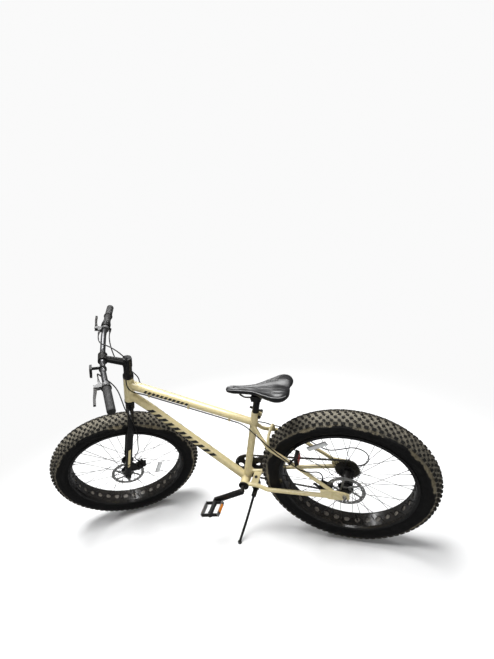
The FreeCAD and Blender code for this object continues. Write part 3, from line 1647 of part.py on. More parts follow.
def frame_nodes():
    chainstays, seatstays = rear_triangle()
    head_bore_rod = rod(head_base - head_up, head_base + head_up * (head_length + 1), head_bore)
    shell_bore_rod = rod(bracket - across * shell_width, bracket + across * shell_width, shell_bore)
    return {
        "head_tube": head_tube_solid().cut(head_bore_rod),
        "bottom_bracket_shell": shell_solid().cut(shell_bore_rod),
        "seat_tube": seat_tube(),
        "top_tube": top_tube(),
        "down_tube": down_tube(),
        "chainstays": chainstays,
        "seatstays": seatstays,
        "bearing_cups": bearing_cups(),
        "frame_bolts": frame_bolts(),
        "rear_caliper": Part.makeCompound(caliper(zero, rear_radial, rear_rotor_side, 1)),
        "rear_caliper_arm": caliper_arm(zero, rear_radial, rear_rotor_side, 1),
        "rear_reflector": rear_reflector(),
        "kickstand_bracket": stand_bracket(),
        "kickstand_leg": stand_leg()}


def drive_nodes():
    return {
        "chain": chain(),
        "chainring": chainring(),
        "crank_arms": crank_arms(),
        "left_pedal": pedal(1),
        "right_pedal": pedal(-1),
        "freewheel": freewheel(),
        "derailleur_mount": derailleur_mount(),
        "derailleur_outer_link": derailleur_link(outer_link_side),
        "derailleur_inner_link": derailleur_link(inner_link_side),
        "derailleur_knuckle": derailleur_knuckle(),
        "derailleur_cage": derailleur_cage(),
        "guide_pulley": pulley(guide_centre, sprocket_phases[1]),
        "tension_pulley": pulley(pulley_centre, sprocket_phases[2])}


def seat_nodes():
    return {"seat_post": seat_post(), "saddle": saddle(), "clamp_lever": clamp_lever()}


def cable_nodes():
    return {
        "front_brake_cable": cable(front_brake_cable(), "front brake cable"),
        "rear_brake_cable": cable(rear_brake_cable(), "rear brake cable"),
        "shift_cable": cable(shift_cable(), "shift cable")}


def stand_matrix(nodes):
    # Lean the bicycle onto its tyres and kickstand and put the middle of its base at zero.
    leaned = stance(pitch_angle)
    box = FreeCAD.BoundBox()
    for name in outline_nodes:
        box.add(moved(nodes[name], leaned).optimalBoundingBox(False, False))
    place = FreeCAD.Matrix()
    place.move(Vector(-box.Center.x, -box.Center.y, -ground_level))
    return place.multiply(leaned)


def build():
    nodes = {}
    for group in (wheel_nodes, steering_nodes, frame_nodes, drive_nodes, seat_nodes, cable_nodes):
        nodes.update(group())
    matrix = stand_matrix(nodes)
    return {name: moved(shape, matrix) for name, shape in nodes.items()}, matrix


def main():
    os.makedirs("parts", exist_ok=True)
    nodes, matrix = build()
    for name, shape in nodes.items():
        if not shape.isValid():
            print("not valid", name)
        shape.exportStep("parts/" + name + ".step")
    print(len(nodes), "nodes")


if __name__ == "__main__":
    main()
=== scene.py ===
import bpy
import math
from mathutils import Matrix, Vector


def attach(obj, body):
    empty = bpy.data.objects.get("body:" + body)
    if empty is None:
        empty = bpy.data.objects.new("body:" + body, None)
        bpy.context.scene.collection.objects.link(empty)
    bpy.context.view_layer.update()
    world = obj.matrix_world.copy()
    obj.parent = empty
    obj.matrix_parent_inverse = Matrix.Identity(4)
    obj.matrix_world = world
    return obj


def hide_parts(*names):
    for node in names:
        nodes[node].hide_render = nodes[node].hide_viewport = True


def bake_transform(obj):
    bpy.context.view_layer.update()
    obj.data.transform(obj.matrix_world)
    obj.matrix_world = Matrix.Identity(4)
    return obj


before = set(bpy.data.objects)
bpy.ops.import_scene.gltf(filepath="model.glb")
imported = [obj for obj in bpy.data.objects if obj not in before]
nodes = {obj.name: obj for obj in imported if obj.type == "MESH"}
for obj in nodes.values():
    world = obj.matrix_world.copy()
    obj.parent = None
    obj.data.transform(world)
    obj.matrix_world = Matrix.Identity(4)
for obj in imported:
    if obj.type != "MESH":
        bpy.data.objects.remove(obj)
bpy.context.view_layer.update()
print("frame loaded,", len(nodes), "nodes")

scene = bpy.context.scene
scene.view_settings.view_transform = "Standard"

# The bike is laid out upright about its rear axle, then leaned onto its stand
stance = {"lean": 8.0, "pitch": 0.400815, "rearAxle": (-0.532790, -0.101759, 0.364905)}
steerSettings = {"headBase": (0.921719, 0.0, 0.420968), "headAngle": 69.4, "turn": 32.0,
                 "axle": (0.030, 0.0, -0.461)}
bikeToWorld = (Matrix.Translation(stance["rearAxle"]) @ Matrix.Rotation(math.radians(-stance["lean"]), 4, "X")
               @ Matrix.Rotation(math.radians(stance["pitch"]), 4, "Y"))
steerToWorld = (bikeToWorld @ Matrix.Translation(steerSettings["headBase"])
                @ Matrix.Rotation(math.radians(steerSettings["headAngle"] - 90), 4, "Y")
                @ Matrix.Rotation(math.radians(steerSettings["turn"]), 4, "Z"))
wheelPlaces = {"front": steerToWorld @ Matrix.Translation(steerSettings["axle"]), "rear": bikeToWorld}

# Finishes

def newFinish(name):
    material = bpy.data.materials.new(name)
    material.use_nodes = True
    tree = material.node_tree
    return material, tree, tree.nodes["Principled BSDF"]


def addNode(tree, kind, **values):
    node = tree.nodes.new(kind)
    for key, value in values.items():
        setattr(node, key, value)
    return node


def feed(tree, value, socket):
    # A number or a colour is set on the socket, and an output is linked to it
    if isinstance(value, (int, float)):
        socket.default_value = value
    elif isinstance(value, tuple):
        socket.default_value = (*value, 1.0)
    else:
        tree.links.new(value, socket)


def feedAll(tree, node, values):
    for key, value in values.items():
        feed(tree, value, node.inputs[key])


def texture(tree, kind, values):
    place = addNode(tree, "ShaderNodeTexCoord")
    node = addNode(tree, kind)
    feedAll(tree, node, {"Vector": place.outputs["Object"], **values})
    return node


def noise(tree, scale, detail=3.0, roughness=0.55):
    values = {"Scale": scale, "Detail": detail, "Roughness": roughness}
    return texture(tree, "ShaderNodeTexNoise", values).outputs["Fac"]


def cells(tree, scale):
    return texture(tree, "ShaderNodeTexVoronoi", {"Scale": scale}).outputs["Distance"]


def clouded(tree, cloud, dark, light, end=0.7):
    node = addNode(tree, "ShaderNodeValToRGB")
    for element, place, colour in zip(node.color_ramp.elements, (0.3, end), (dark, light)):
        element.position = place
        element.color = (*colour, 1.0)
    tree.links.new(cloud, node.inputs["Fac"])
    return node.outputs["Color"]


def span(tree, source, low, high, toLow, toHigh):
    node = addNode(tree, "ShaderNodeMapRange")
    feedAll(tree, node, {"Value": source, "From Min": low, "From Max": high, "To Min": toLow,
                         "To Max": toHigh})
    return node.outputs["Result"]


def worked(tree, operation, *sources):
    node = addNode(tree, "ShaderNodeMath", operation=operation)
    for socket, source in zip(node.inputs, sources):
        feed(tree, source, socket)
    return node.outputs[0]


def blendColour(tree, share, first, second):
    node = addNode(tree, "ShaderNodeMix", data_type="RGBA")
    feedAll(tree, node, {0: share, 6: first, 7: second})
    return node.outputs[2]


def bumps(tree, shader, heights):
    last = None
    for source, strength, distance in heights:
        node = addNode(tree, "ShaderNodeBump")
        feedAll(tree, node, {"Strength": strength, "Distance": distance, "Height": source})
        if last is not None:
            tree.links.new(last, node.inputs["Normal"])
        last = node.outputs["Normal"]
    tree.links.new(last, shader.inputs["Normal"])


def dustMask(tree, scale, most):
    # Dust lies on what faces up, broken up by noise
    geometry = addNode(tree, "ShaderNodeNewGeometry")
    parts = addNode(tree, "ShaderNodeSeparateXYZ")
    tree.links.new(geometry.outputs["Normal"], parts.inputs[0])
    up = span(tree, parts.outputs["Z"], 0.1, 1.0, 0.0, 1.0)
    grain = span(tree, noise(tree, scale, 6.0, 0.7), 0.35, 0.75, 0.0, most)
    return worked(tree, "MULTIPLY", up, grain)


def grey(value):
    return (value, value, value)


# Scale of the dust's grain, most dust, its colour
dustColour = (0.30, 0.25, 0.19)
dustRows = {"tanPaint": (40.0, 0.10, (0.64, 0.57, 0.40)), "blackPaint": (60.0, 0.03, dustColour),
            "blackAlloy": (80.0, 0.05, dustColour), "rimBlack": (50.0, 0.10, dustColour)}
speculars = {"blackPaint": 0.3, "blackAlloy": 0.3, "rimBlack": 0.35, "blackPlastic": 0.3, "cableBlack": 0.3}
# Dark and light colour, grain, roughness, metal, coat and its roughness, the bumps' scale, strength and depth
finishRows = {
    "tanPaint": ((0.555, 0.470, 0.252), (0.595, 0.507, 0.277), 18.0, (0.24, 0.34), 0.0, 0.6, 0.08,
                 220.0, 0.02, 0.0001),
    "blackPaint": (grey(0.003), grey(0.006), 25.0, (0.14, 0.24), 0.0, 0.6, 0.06, 900.0, 0.04, 0.0001),
    "blackAlloy": (grey(0.005), (0.010, 0.010, 0.0095), 40.0, (0.26, 0.40), 0.0, 0.25, 0.15,
                   1400.0, 0.08, 0.0001),
    "rimBlack": (grey(0.004), grey(0.008), 30.0, (0.14, 0.28), 0.0, 0.5, 0.10, 1200.0, 0.05, 0.0001),
    "gunmetal": ((0.055, 0.055, 0.057), (0.085, 0.085, 0.088), 30.0, (0.3, 0.42), 0.8, 0.2, 0.15,
                 1600.0, 0.06, 0.0001),
    "blackSteel": (grey(0.008), (0.018, 0.018, 0.017), 60.0, (0.30, 0.45), 0.4, 0.0, 0.1,
                   1500.0, 0.1, 0.0001),
    "spokeSteel": (grey(0.012), (0.026, 0.026, 0.025), 90.0, (0.38, 0.5), 0.3, 0.0, 0.1,
                   2000.0, 0.05, 0.0001),
    "rotorSteel": ((0.13, 0.13, 0.124), (0.26, 0.26, 0.25), 150.0, (0.32, 0.48), 0.5, 0.0, 0.1,
                   1600.0, 0.1, 0.0003),
    "cogSteel": ((0.030, 0.028, 0.020), (0.085, 0.078, 0.055), 130.0, (0.4, 0.6), 0.6, 0.0, 0.1,
                 900.0, 0.1, 0.0003),
    "zincSteel": ((0.34, 0.34, 0.33), (0.52, 0.52, 0.50), 120.0, (0.3, 0.48), 1.0, 0.0, 0.1,
                  1200.0, 0.12, 0.0001),
    "cageSilver": ((0.50, 0.50, 0.49), (0.66, 0.66, 0.65), 70.0, (0.3, 0.45), 0.9, 0.0, 0.1,
                   900.0, 0.12, 0.0002),
    "greyAlloy": (grey(0.10), grey(0.15), 60.0, (0.38, 0.5), 0.5, 0.0, 0.1, 1200.0, 0.08, 0.0001),
    "chainSteel": ((0.05, 0.045, 0.04), (0.13, 0.12, 0.105), 220.0, (0.34, 0.55), 0.8, 0.0, 0.1,
                   900.0, 0.15, 0.0001),
    "blackPlastic": (grey(0.006), grey(0.011), 120.0, (0.38, 0.52), 0.0, 0.0, 0.1, 1800.0, 0.18, 0.0001),
    "cableBlack": (grey(0.005), grey(0.009), 90.0, (0.34, 0.48), 0.0, 0.0, 0.2, 900.0, 0.06, 0.0001),
    "rimStripBeige": ((0.030, 0.027, 0.023), (0.22, 0.20, 0.17), 110.0, (0.28, 0.5), 0.0, 0.0, 0.1,
                      90.0, 0.8, 0.004),
    "whiteLens": ((0.62, 0.63, 0.63), (0.74, 0.75, 0.75), 300.0, (0.12, 0.22), 0.0, 0.6, 0.05,
                  260.0, 0.4, 0.0006),
    "redLens": ((0.32, 0.012, 0.010), (0.50, 0.022, 0.016), 300.0, (0.12, 0.22), 0.0, 0.6, 0.05,
                260.0, 0.4, 0.0006),
    "amberLens": ((0.55, 0.16, 0.01), (0.72, 0.24, 0.02), 300.0, (0.14, 0.24), 0.0, 0.5, 0.05,
                  300.0, 0.4, 0.0006),
    "greyPanel": (grey(0.22), grey(0.30), 120.0, (0.4, 0.5), 0.0, 0.0, 0.1, 1200.0, 0.1, 0.0001),
    "decalBlack": ((0.010, 0.009, 0.009), (0.016, 0.015, 0.014), 80.0, (0.25, 0.36), 0.0, 0.6, 0.08,
                   900.0, 0.04, 0.0001),
}


def makeFinish(name, dark, light, grain, rough, metallic, coat, coatRough, bumpScale, bumpStrength,
               bumpDepth):
    material, tree, shader = newFinish(name)
    colour = clouded(tree, noise(tree, grain, 4.0, 0.6), dark, light)
    if name in dustRows:
        scale, most, dust = dustRows[name]
        colour = blendColour(tree, dustMask(tree, scale, most), colour, dust)
    roughness = span(tree, noise(tree, grain * 2.7, 5.0), 0.3, 0.7, *rough)
    feedAll(tree, shader, {"Base Color": colour, "Roughness": roughness, "Metallic": metallic,
                           "Coat Weight": coat, "Coat Roughness": coatRough,
                           "Specular IOR Level": speculars.get(name, 0.5)})
    bumps(tree, shader, [(noise(tree, bumpScale, 3.0), bumpStrength, bumpDepth)])
    return material


def gripFinish(name, axisWay, ringPitch):
    # Fine rings and cross cuts moulded into rubber, laid along the bar
    material, tree, shader = newFinish(name)
    colour = clouded(tree, noise(tree, 140.0, 5.0), grey(0.009), (0.022, 0.0215, 0.021), 0.75)
    roughness = span(tree, noise(tree, 300.0), 0.3, 0.7, 0.62, 0.8)
    feedAll(tree, shader, {"Base Color": colour, "Roughness": roughness})
    place = addNode(tree, "ShaderNodeTexCoord")
    along = addNode(tree, "ShaderNodeVectorMath", operation="DOT_PRODUCT")
    along.inputs[1].default_value = axisWay
    tree.links.new(place.outputs["Object"], along.inputs[0])
    wave = worked(tree, "SINE", worked(tree, "MULTIPLY", along.outputs["Value"], 2 * math.pi / ringPitch))
    bumps(tree, shader, [(wave, 0.5, 0.0007), (cells(tree, 420.0), 0.35, 0.0006)])
    return material


def vinylFinish():
    material, tree, shader = newFinish("saddleVinyl")
    colour = clouded(tree, noise(tree, 35.0, 5.0), (0.007, 0.007, 0.008), (0.013, 0.013, 0.014))
    colour = blendColour(tree, dustMask(tree, 30.0, 0.05), colour, (0.20, 0.19, 0.17))
    roughness = span(tree, noise(tree, 40.0), 0.3, 0.7, 0.33, 0.38)
    feedAll(tree, shader, {"Base Color": colour, "Roughness": roughness, "Specular IOR Level": 0.5})
    bumps(tree, shader, [(cells(tree, 700.0), 0.03, 0.0001)])
    return material


def treadFinish():
    # Ground dust sits in the valleys, dried mud on the shoulder, and the sidewall is clean
    material, tree, shader = newFinish("tyreCasing")
    where = addNode(tree, "ShaderNodeAttribute", attribute_name="acrossTread")
    wander = span(tree, noise(tree, 26.0, 5.0, 0.65), 0.3, 0.7, -0.045, 0.045)
    across = worked(tree, "ADD", where.outputs["Fac"], wander)
    dusty = clouded(tree, noise(tree, 90.0, 6.0, 0.7), (0.095, 0.088, 0.071), (0.225, 0.206, 0.164))
    muddy = clouded(tree, noise(tree, 60.0, 6.0, 0.7), (0.055, 0.048, 0.034), (0.20, 0.17, 0.11))
    clean = clouded(tree, noise(tree, 70.0, 4.0), (0.0040, 0.0040, 0.0042), (0.0085, 0.0083, 0.0082))
    patches = span(tree, noise(tree, 9.0, 6.0, 0.75), 0.44, 0.58, 0.0, 1.0)
    toMud = worked(tree, "MULTIPLY", span(tree, across, 0.58, 0.62, 0.0, 1.0), patches)
    toClean = span(tree, worked(tree, "MULTIPLY_ADD", patches, -0.15, across), 0.60, 0.66, 0.0, 1.0)
    colour = blendColour(tree, toClean, blendColour(tree, toMud, dusty, muddy), clean)
    roughness = span(tree, toClean, 0.0, 1.0, 0.92, 0.48)
    feedAll(tree, shader, {"Base Color": colour, "Roughness": roughness, "Specular IOR Level": 0.16})
    bumps(tree, shader, [(noise(tree, 500.0, 4.0), 0.3, 0.0005), (noise(tree, 120.0, 3.0), 0.15, 0.001)])
    return material


def blockFinish():
    material, tree, shader = newFinish("treadBlocks")
    where = addNode(tree, "ShaderNodeAttribute", attribute_name="blockHeight")
    top = clouded(tree, noise(tree, 80.0, 5.0), grey(0.008), (0.022, 0.021, 0.019), 0.75)
    foot = clouded(tree, noise(tree, 120.0, 6.0, 0.7), (0.05, 0.045, 0.036), (0.13, 0.115, 0.088))
    colour = blendColour(tree, span(tree, where.outputs["Fac"], 0.3, 0.85, 0.0, 1.0), foot, top)
    roughness = span(tree, noise(tree, 200.0), 0.3, 0.7, 0.6, 0.8)
    feedAll(tree, shader, {"Base Color": colour, "Roughness": roughness, "Specular IOR Level": 0.16})
    bumps(tree, shader, [(noise(tree, 700.0, 4.0), 0.25, 0.0004)])
    return material


finishes = {name: makeFinish(name, *row) for name, row in finishRows.items()}
barWay = {"left": (steerToWorld.to_3x3() @ Vector((-0.029, 0.223, 0.0051))).normalized(),
          "right": (steerToWorld.to_3x3() @ Vector((-0.029, -0.223, 0.0051))).normalized()}
finishes["gripRubber"] = gripFinish("gripRubber", barWay["left"], 0.0042)
finishes["twistRubber"] = gripFinish("twistRubber", barWay["right"], 0.0056)
finishes["saddleVinyl"] = vinylFinish()
finishes["tyreCasing"] = treadFinish()
finishes["treadBlocks"] = blockFinish()
print("finishes made,", len(finishes))

nodeFinishes = {
    "tanPaint": ["head_tube", "top_tube", "down_tube", "seat_tube", "bottom_bracket_shell", "chainstays",
                 "seatstays"],
    "blackPaint": ["fork"],
    "rimBlack": ["front_rim", "rear_rim"],
    "blackAlloy": ["front_hub", "rear_hub", "headset_spacers", "stem", "bearing_cups", "front_caliper",
                   "rear_caliper", "front_caliper_arm", "rear_caliper_arm", "kickstand_bracket",
                   "kickstand_leg", "crank_arms", "seat_post", "clamp_lever", "derailleur_mount",
                   "derailleur_outer_link", "derailleur_inner_link", "derailleur_knuckle",
                   "derailleur_cage", "left_brake_lever", "right_brake_lever"],
    "greyAlloy": ["brake_perches"],
    "gunmetal": ["handlebar"],
    "blackSteel": ["chainring", "stem_bolts", "frame_bolts"],
    "rotorSteel": ["front_rotor", "rear_rotor"],
    "spokeSteel": ["front_spokes", "rear_spokes"],
    "zincSteel": ["front_axle", "rear_axle"],
    "cogSteel": ["freewheel"],
    "chainSteel": ["chain"],
    "blackPlastic": ["shifter_housing", "guide_pulley", "tension_pulley", "front_reflector", "rear_reflector",
                     "left_pedal", "right_pedal"],
    "cableBlack": ["front_brake_cable", "rear_brake_cable", "shift_cable"],
    "gripRubber": ["grips"],
    "twistRubber": ["twist_grip"],
    "saddleVinyl": ["saddle"],
    "tyreCasing": ["front_tyre", "rear_tyre"],
}
for finishName, names in nodeFinishes.items():
    for nodeName in names:
        slots = nodes[nodeName].material_slots
        if not slots:
            nodes[nodeName].data.materials.append(finishes[finishName])
        for oneSlot in slots:
            oneSlot.material = finishes[finishName]
print("nodes dressed")


# Mesh helpers

def addPiece(name, points, faces, finishNames, body, faceFinish, smooth):
    mesh = bpy.data.meshes.new(name)
    mesh.from_pydata([tuple(point) for point in points], [], faces)
    for finishName in finishNames:
        mesh.materials.append(finishes[finishName])
    if faceFinish:
        mesh.polygons.foreach_set("material_index", faceFinish)
    mesh.polygons.foreach_set("use_smooth", [smooth] * len(mesh.polygons))
    mesh.update()
    piece = bpy.data.objects.new(name, mesh)
    scene.collection.objects.link(piece)
    if body:
        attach(piece, body)
    return piece


def pointAttribute(piece, name, values):
    attribute = piece.data.attributes.new(name, "FLOAT", "POINT")
    attribute.data.foreach_set("value", values)


def revolve(profile, place, steps):
    # Rings of a profile (radius, side) about a wheel's own Y axis
    points = []
    faces = []
    count = len(profile)
    for index in range(steps):
        angle = 2 * math.pi * index / steps
        for radius, side in profile:
            points.append(place @ Vector((radius * math.cos(angle), side, radius * math.sin(angle))))
    for index in range(steps):
        after = (index + 1) % steps
        for row in range(count - 1):
            here, there = index * count + row, after * count + row
            faces.append((here, here + 1, there + 1, there))
    return points, faces


# Tyres

tyreSettings = {"radius": 0.368, "section": 0.050, "blockHeight": 0.0058, "bead": 0.0377,
                "beadRadius": 0.2810, "blocksRound": 78, "steps": 156, "rows": 60, "valleyEdge": 60.0,
                "wallEdge": 78.0, "skin": 0.0008, "rib": 0.0004, "ribFrom": 90.0, "ribTo": 114.0,
                "ribMiddle": 96.0, "ribTurns": 30, "blockFoot": 0.0015, "blockEdge": 0.0007,
                "blockTaper": (1.10, 1.0, 0.88), "sideShift": 0.25, "beadAcross": 1.3, "blockAcross": 0.3}
# Angle from the tread's middle, length, width, tilt, offset in pitches, depth of the top in the section
blockRows = [(53.0, 0.0150, 0.0108, 0.0, 0.0, 0.0003), (37.5, 0.0105, 0.0078, 24.0, 0.5, 0.0005),
             (22.5, 0.0118, 0.0080, -14.0, 0.0, 0.0006), (7.5, 0.0100, 0.0072, 20.0, 0.5, 0.0006)]


def casingRadius(angle):
    settings = tyreSettings
    angle = abs(angle)
    share = (angle - settings["valleyEdge"]) / (settings["wallEdge"] - settings["valleyEdge"])
    share = min(1.0, max(0.0, share))
    share = share * share * (3 - 2 * share)
    low = settings["section"] - settings["blockHeight"]
    rib = 0.0
    if settings["ribFrom"] < angle < settings["ribTo"]:
        turned = (angle - settings["ribMiddle"]) * settings["ribTurns"]
        rib = settings["rib"] * max(0.0, math.cos(math.radians(turned)))
    return low + (settings["section"] - settings["skin"] - low) * share + rib


def makeTyre(name, place, body, node):
    settings = tyreSettings
    core = settings["radius"] - settings["section"]
    edge = 180 - math.degrees(math.asin(settings["bead"] / (settings["section"] - settings["skin"])))
    rows = settings["rows"]
    profile = []
    across = []
    for index in range(rows + 1):
        angle = -edge + 2 * edge * index / rows
        reach = casingRadius(angle)
        profile.append((core + reach * math.cos(math.radians(angle)), reach * math.sin(math.radians(angle))))
        across.append(abs(angle) / 100)
    foot, side = settings["beadRadius"], settings["bead"]
    profile = [(foot, -side)] + profile + [(foot, side)]
    across = [settings["beadAcross"]] + across + [settings["beadAcross"]]
    points, faces = revolve(profile, place, settings["steps"])
    heights = [0.0] * len(points)
    sides = across * settings["steps"]
    kinds = [0] * len(faces)
    pitch = 2 * math.pi / settings["blocksRound"]
    for side in (-1, 1):
        for angle, length, width, tilt, offset, sink in blockRows:
            for index in range(settings["blocksRound"]):
                turn = (index + offset + (settings["sideShift"] if side > 0 else 0.0)) * pitch
                addBlock(points, faces, place, core, side * angle, turn, length, width, side * tilt, sink)
                heights += [0.0] * 4 + [0.8] * 4 + [1.0] * 4
                sides += [settings["blockAcross"]] * 12
                kinds += [1] * 9
    tyre = addPiece(name, points, faces, ["tyreCasing", "treadBlocks"], body, kinds, True)
    tyre.data.polygons.foreach_set("use_smooth", [kind == 0 for kind in kinds])
    pointAttribute(tyre, "acrossTread", sides)
    pointAttribute(tyre, "blockHeight", heights)
    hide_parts(node)
    return tyre


def addBlock(points, faces, place, core, angle, turn, length, width, tilt, sink):
    settings = tyreSettings
    lean = math.radians(angle)
    around = Matrix.Rotation(-turn, 4, "Y")
    outward = Vector((math.cos(lean), math.sin(lean), 0.0))
    sideways = Vector((-math.sin(lean), math.cos(lean), 0.0))
    along = Vector((0.0, 0.0, 1.0))
    slant = math.radians(tilt)
    lengthWay = along * math.cos(slant) + sideways * math.sin(slant)
    widthWay = sideways * math.cos(slant) - along * math.sin(slant)
    centre = Vector((core, 0.0, 0.0))
    top = settings["section"] - sink
    foot = settings["section"] - settings["blockHeight"] - settings["blockFoot"]
    levels = zip((foot, top - settings["blockEdge"], top), settings["blockTaper"])
    first = len(points)
    for height, share in levels:
        for sideLength, sideWidth in ((-1, -1), (1, -1), (1, 1), (-1, 1)):
            local = (centre + outward * height + lengthWay * (sideLength * length * share / 2)
                     + widthWay * (sideWidth * width * share / 2))
            points.append(place @ (around @ local))
    for level in (first, first + 4):
        for corner in range(4):
            after = (corner + 1) % 4
            faces.append((level + corner, level + after, level + 4 + after, level + 4 + corner))
    faces.append((first + 8, first + 9, first + 10, first + 11))


for end in ("front", "rear"):
    makeTyre(end + "KnobbyTyre", wheelPlaces[end], end + "_wheel", end + "_tyre")
print("tyres made")

# Small solids gathered into one mesh per piece

class Shape:
    def __init__(self):
        self.points = []
        self.faces = []
        self.kinds = []

    def add(self, points, faces, kind=0):
        first = len(self.points)
        self.points += [Vector(point) for point in points]
        self.faces += [tuple(first + corner for corner in face) for face in faces]
        self.kinds += [kind] * len(faces)

    def finish(self, name, finishNames, body, smooth=False):
        return addPiece(name, self.points, self.faces, finishNames, body, self.kinds, smooth)


def roundedBox(low, high, bevel, place):
    # A box with every edge and corner cut back
    points = []
    index = {}
    corners = [(sx, sy, sz) for sx in (0, 1) for sy in (0, 1) for sz in (0, 1)]
    for sides in corners:
        corner = [(low, high)[side][axis] for axis, side in enumerate(sides)]
        inward = [-bevel if side else bevel for side in sides]
        for axis in range(3):
            moved = [corner[k] + (inward[k] if k != axis else 0.0) for k in range(3)]
            index[(*sides, axis)] = len(points)
            points.append(place @ Vector(moved))
    faces = []
    for axis in range(3):
        first, second = [k for k in range(3) if k != axis]
        for side in (0, 1):
            ring = []
            for a, b in ((0, 0), (1, 0), (1, 1), (0, 1)):
                key = [0, 0, 0]
                key[axis], key[first], key[second] = side, a, b
                ring.append(index[(*key, axis)])
            faces.append(tuple(ring))
        for a in (0, 1):
            for b in (0, 1):
                key = [0, 0, 0]
                key[first], key[second] = a, b
                other = list(key)
                other[axis] = 1
                faces.append((index[(*key, first)], index[(*key, second)],
                              index[(*other, second)], index[(*other, first)]))
    faces += [tuple(index[(*sides, axis)] for axis in range(3)) for sides in corners]
    return points, faces


def prismFrom(outline, thickness, place):
    # An outline in local X and Y, given thickness along Z
    count = len(outline)
    points = [place @ Vector((x, y, height)) for height in (0.0, thickness) for x, y in outline]
    faces = [tuple(reversed(range(count))), tuple(range(count, 2 * count))]
    faces += [(k, (k + 1) % count, count + (k + 1) % count, count + k) for k in range(count)]
    return points, faces


def lathed(profile, place, steps):
    # Rings of (radius, height) about local Z
    points = []
    faces = []
    count = len(profile)
    for index in range(steps):
        angle = 2 * math.pi * index / steps
        for radius, height in profile:
            points.append(place @ Vector((radius * math.cos(angle), radius * math.sin(angle), height)))
    for index in range(steps):
        after = (index + 1) % steps
        for row in range(count - 1):
            here, there = index * count + row, after * count + row
            faces.append((here, there, there + 1, here + 1))
    return points, faces


def facing(origin, way):
    # Local Z along a direction
    axis = Vector(way).normalized()
    side = axis.orthogonal()
    side = (side - axis * side.dot(axis)).normalized()
    return Matrix.Translation(origin) @ Matrix((side, axis.cross(side), axis)).transposed().to_4x4()


def tubeAlong(path, radius, sides, closed=False):
    count = len(path)
    radii = radius if isinstance(radius, list) else [radius] * count
    points = []
    ways = []
    for index in range(count):
        before = path[index - 1] if closed or index > 0 else path[index]
        after = path[(index + 1) % count] if closed or index < count - 1 else path[index]
        ways.append((after - before).normalized())
    normal = ways[0].orthogonal().normalized()
    for index in range(count):
        normal = (normal - ways[index] * normal.dot(ways[index])).normalized()
        other = ways[index].cross(normal)
        for side in range(sides):
            angle = 2 * math.pi * side / sides
            points.append(path[index] + (normal * math.cos(angle) + other * math.sin(angle)) * radii[index])
    faces = []
    for index in range(count if closed else count - 1):
        here, there = index * sides, (index + 1) % count * sides
        for side in range(sides):
            nextSide = (side + 1) % sides
            faces.append((here + side, here + nextSide, there + nextSide, there + side))
    if not closed:
        faces.append(tuple(reversed(range(sides))))
        faces.append(tuple((count - 1) * sides + side for side in range(sides)))
    return points, faces


def socketBolt(shape, origin, way, radius, height):
    # A cap head with a rounded rim and a round socket
    profile = [(radius, 0.0), (radius, height * 0.75), (radius * 0.86, height), (radius * 0.55, height),
               (radius * 0.52, height * 0.35), (0.0, height * 0.35)]
    shape.add(*lathed(profile, facing(origin, way), 18))


# Wheel trim

wheelTrim = {"stripRadius": 0.2721, "stripHalf": 0.024, "stripSteps": 144, "valveAngle": -95.0,
             "valveFoot": 0.2678, "clips": (-0.024, 0.024),
             "reflectors": {"front": {"angle": 192.0, "reach": 0.160, "half": 0.038},
                            "rear": {"angle": 64.0, "reach": 0.222, "half": 0.046}}}
valveProfile = [(0.0045, 0.0), (0.0045, 0.004), (0.0030, 0.006), (0.0030, 0.026), (0.0038, 0.027),
                (0.0038, 0.037), (0.0030, 0.039), (0.0, 0.039)]


def wheelWay(angle):
    # Outward from an axle, in the plane of a wheel
    return Vector((math.cos(angle), 0.0, math.sin(angle)))


def makeRimStrip(end):
    half = wheelTrim["stripHalf"]
    base = wheelTrim["stripRadius"]
    ring = [(base, -half), (base + 0.0004, -half * 0.5), (base + 0.0004, half * 0.5), (base, half),
            (base + 0.001, half), (base + 0.0014, 0.0), (base + 0.001, -half), (base, -half)]
    points, faces = revolve(ring, wheelPlaces[end], wheelTrim["stripSteps"])
    addPiece(end + "RimStrip", points, faces, ["rimStripBeige"], end + "_wheel", None, True)


def makeValve(end):
    shape = Shape()
    place = wheelPlaces[end]
    outward = wheelWay(math.radians(wheelTrim["valveAngle"]))
    foot = place @ (outward * wheelTrim["valveFoot"])
    shape.add(*lathed(valveProfile, facing(foot, place.to_3x3() @ (outward * -1)), 16))
    shape.finish(end + "Valve", ["blackPlastic"], end + "_wheel", True)


def makeSpokeReflector(end):
    shape = Shape()
    settings = wheelTrim["reflectors"][end]
    angle = math.radians(settings["angle"])
    outward = wheelWay(angle)
    along = Vector((-math.sin(angle), 0.0, math.cos(angle)))
    turn = Matrix((along, Vector((0.0, 1.0, 0.0)), outward)).transposed().to_4x4()
    seat = wheelPlaces[end] @ Matrix.Translation(outward * settings["reach"]) @ turn
    half = settings["half"]
    shape.add(*roundedBox((-half, 0.0140, -0.011), (half, 0.0190, 0.011), 0.0016, seat), 1)
    half -= 0.002
    shape.add(*roundedBox((-half, 0.0190, -0.009), (half, 0.0205, 0.009), 0.0007, seat))
    for clip in wheelTrim["clips"]:
        shape.add(*roundedBox((clip - 0.004, 0.0100, -0.006), (clip + 0.004, 0.0142, 0.006), 0.001, seat), 1)
    shape.finish(end + "SpokeReflector", ["whiteLens", "greyPanel"], end + "_wheel")


for end in ("front", "rear"):
    makeRimStrip(end)
    makeValve(end)
    makeSpokeReflector(end)
print("wheel trim made")

# Weld beads where the tubes meet

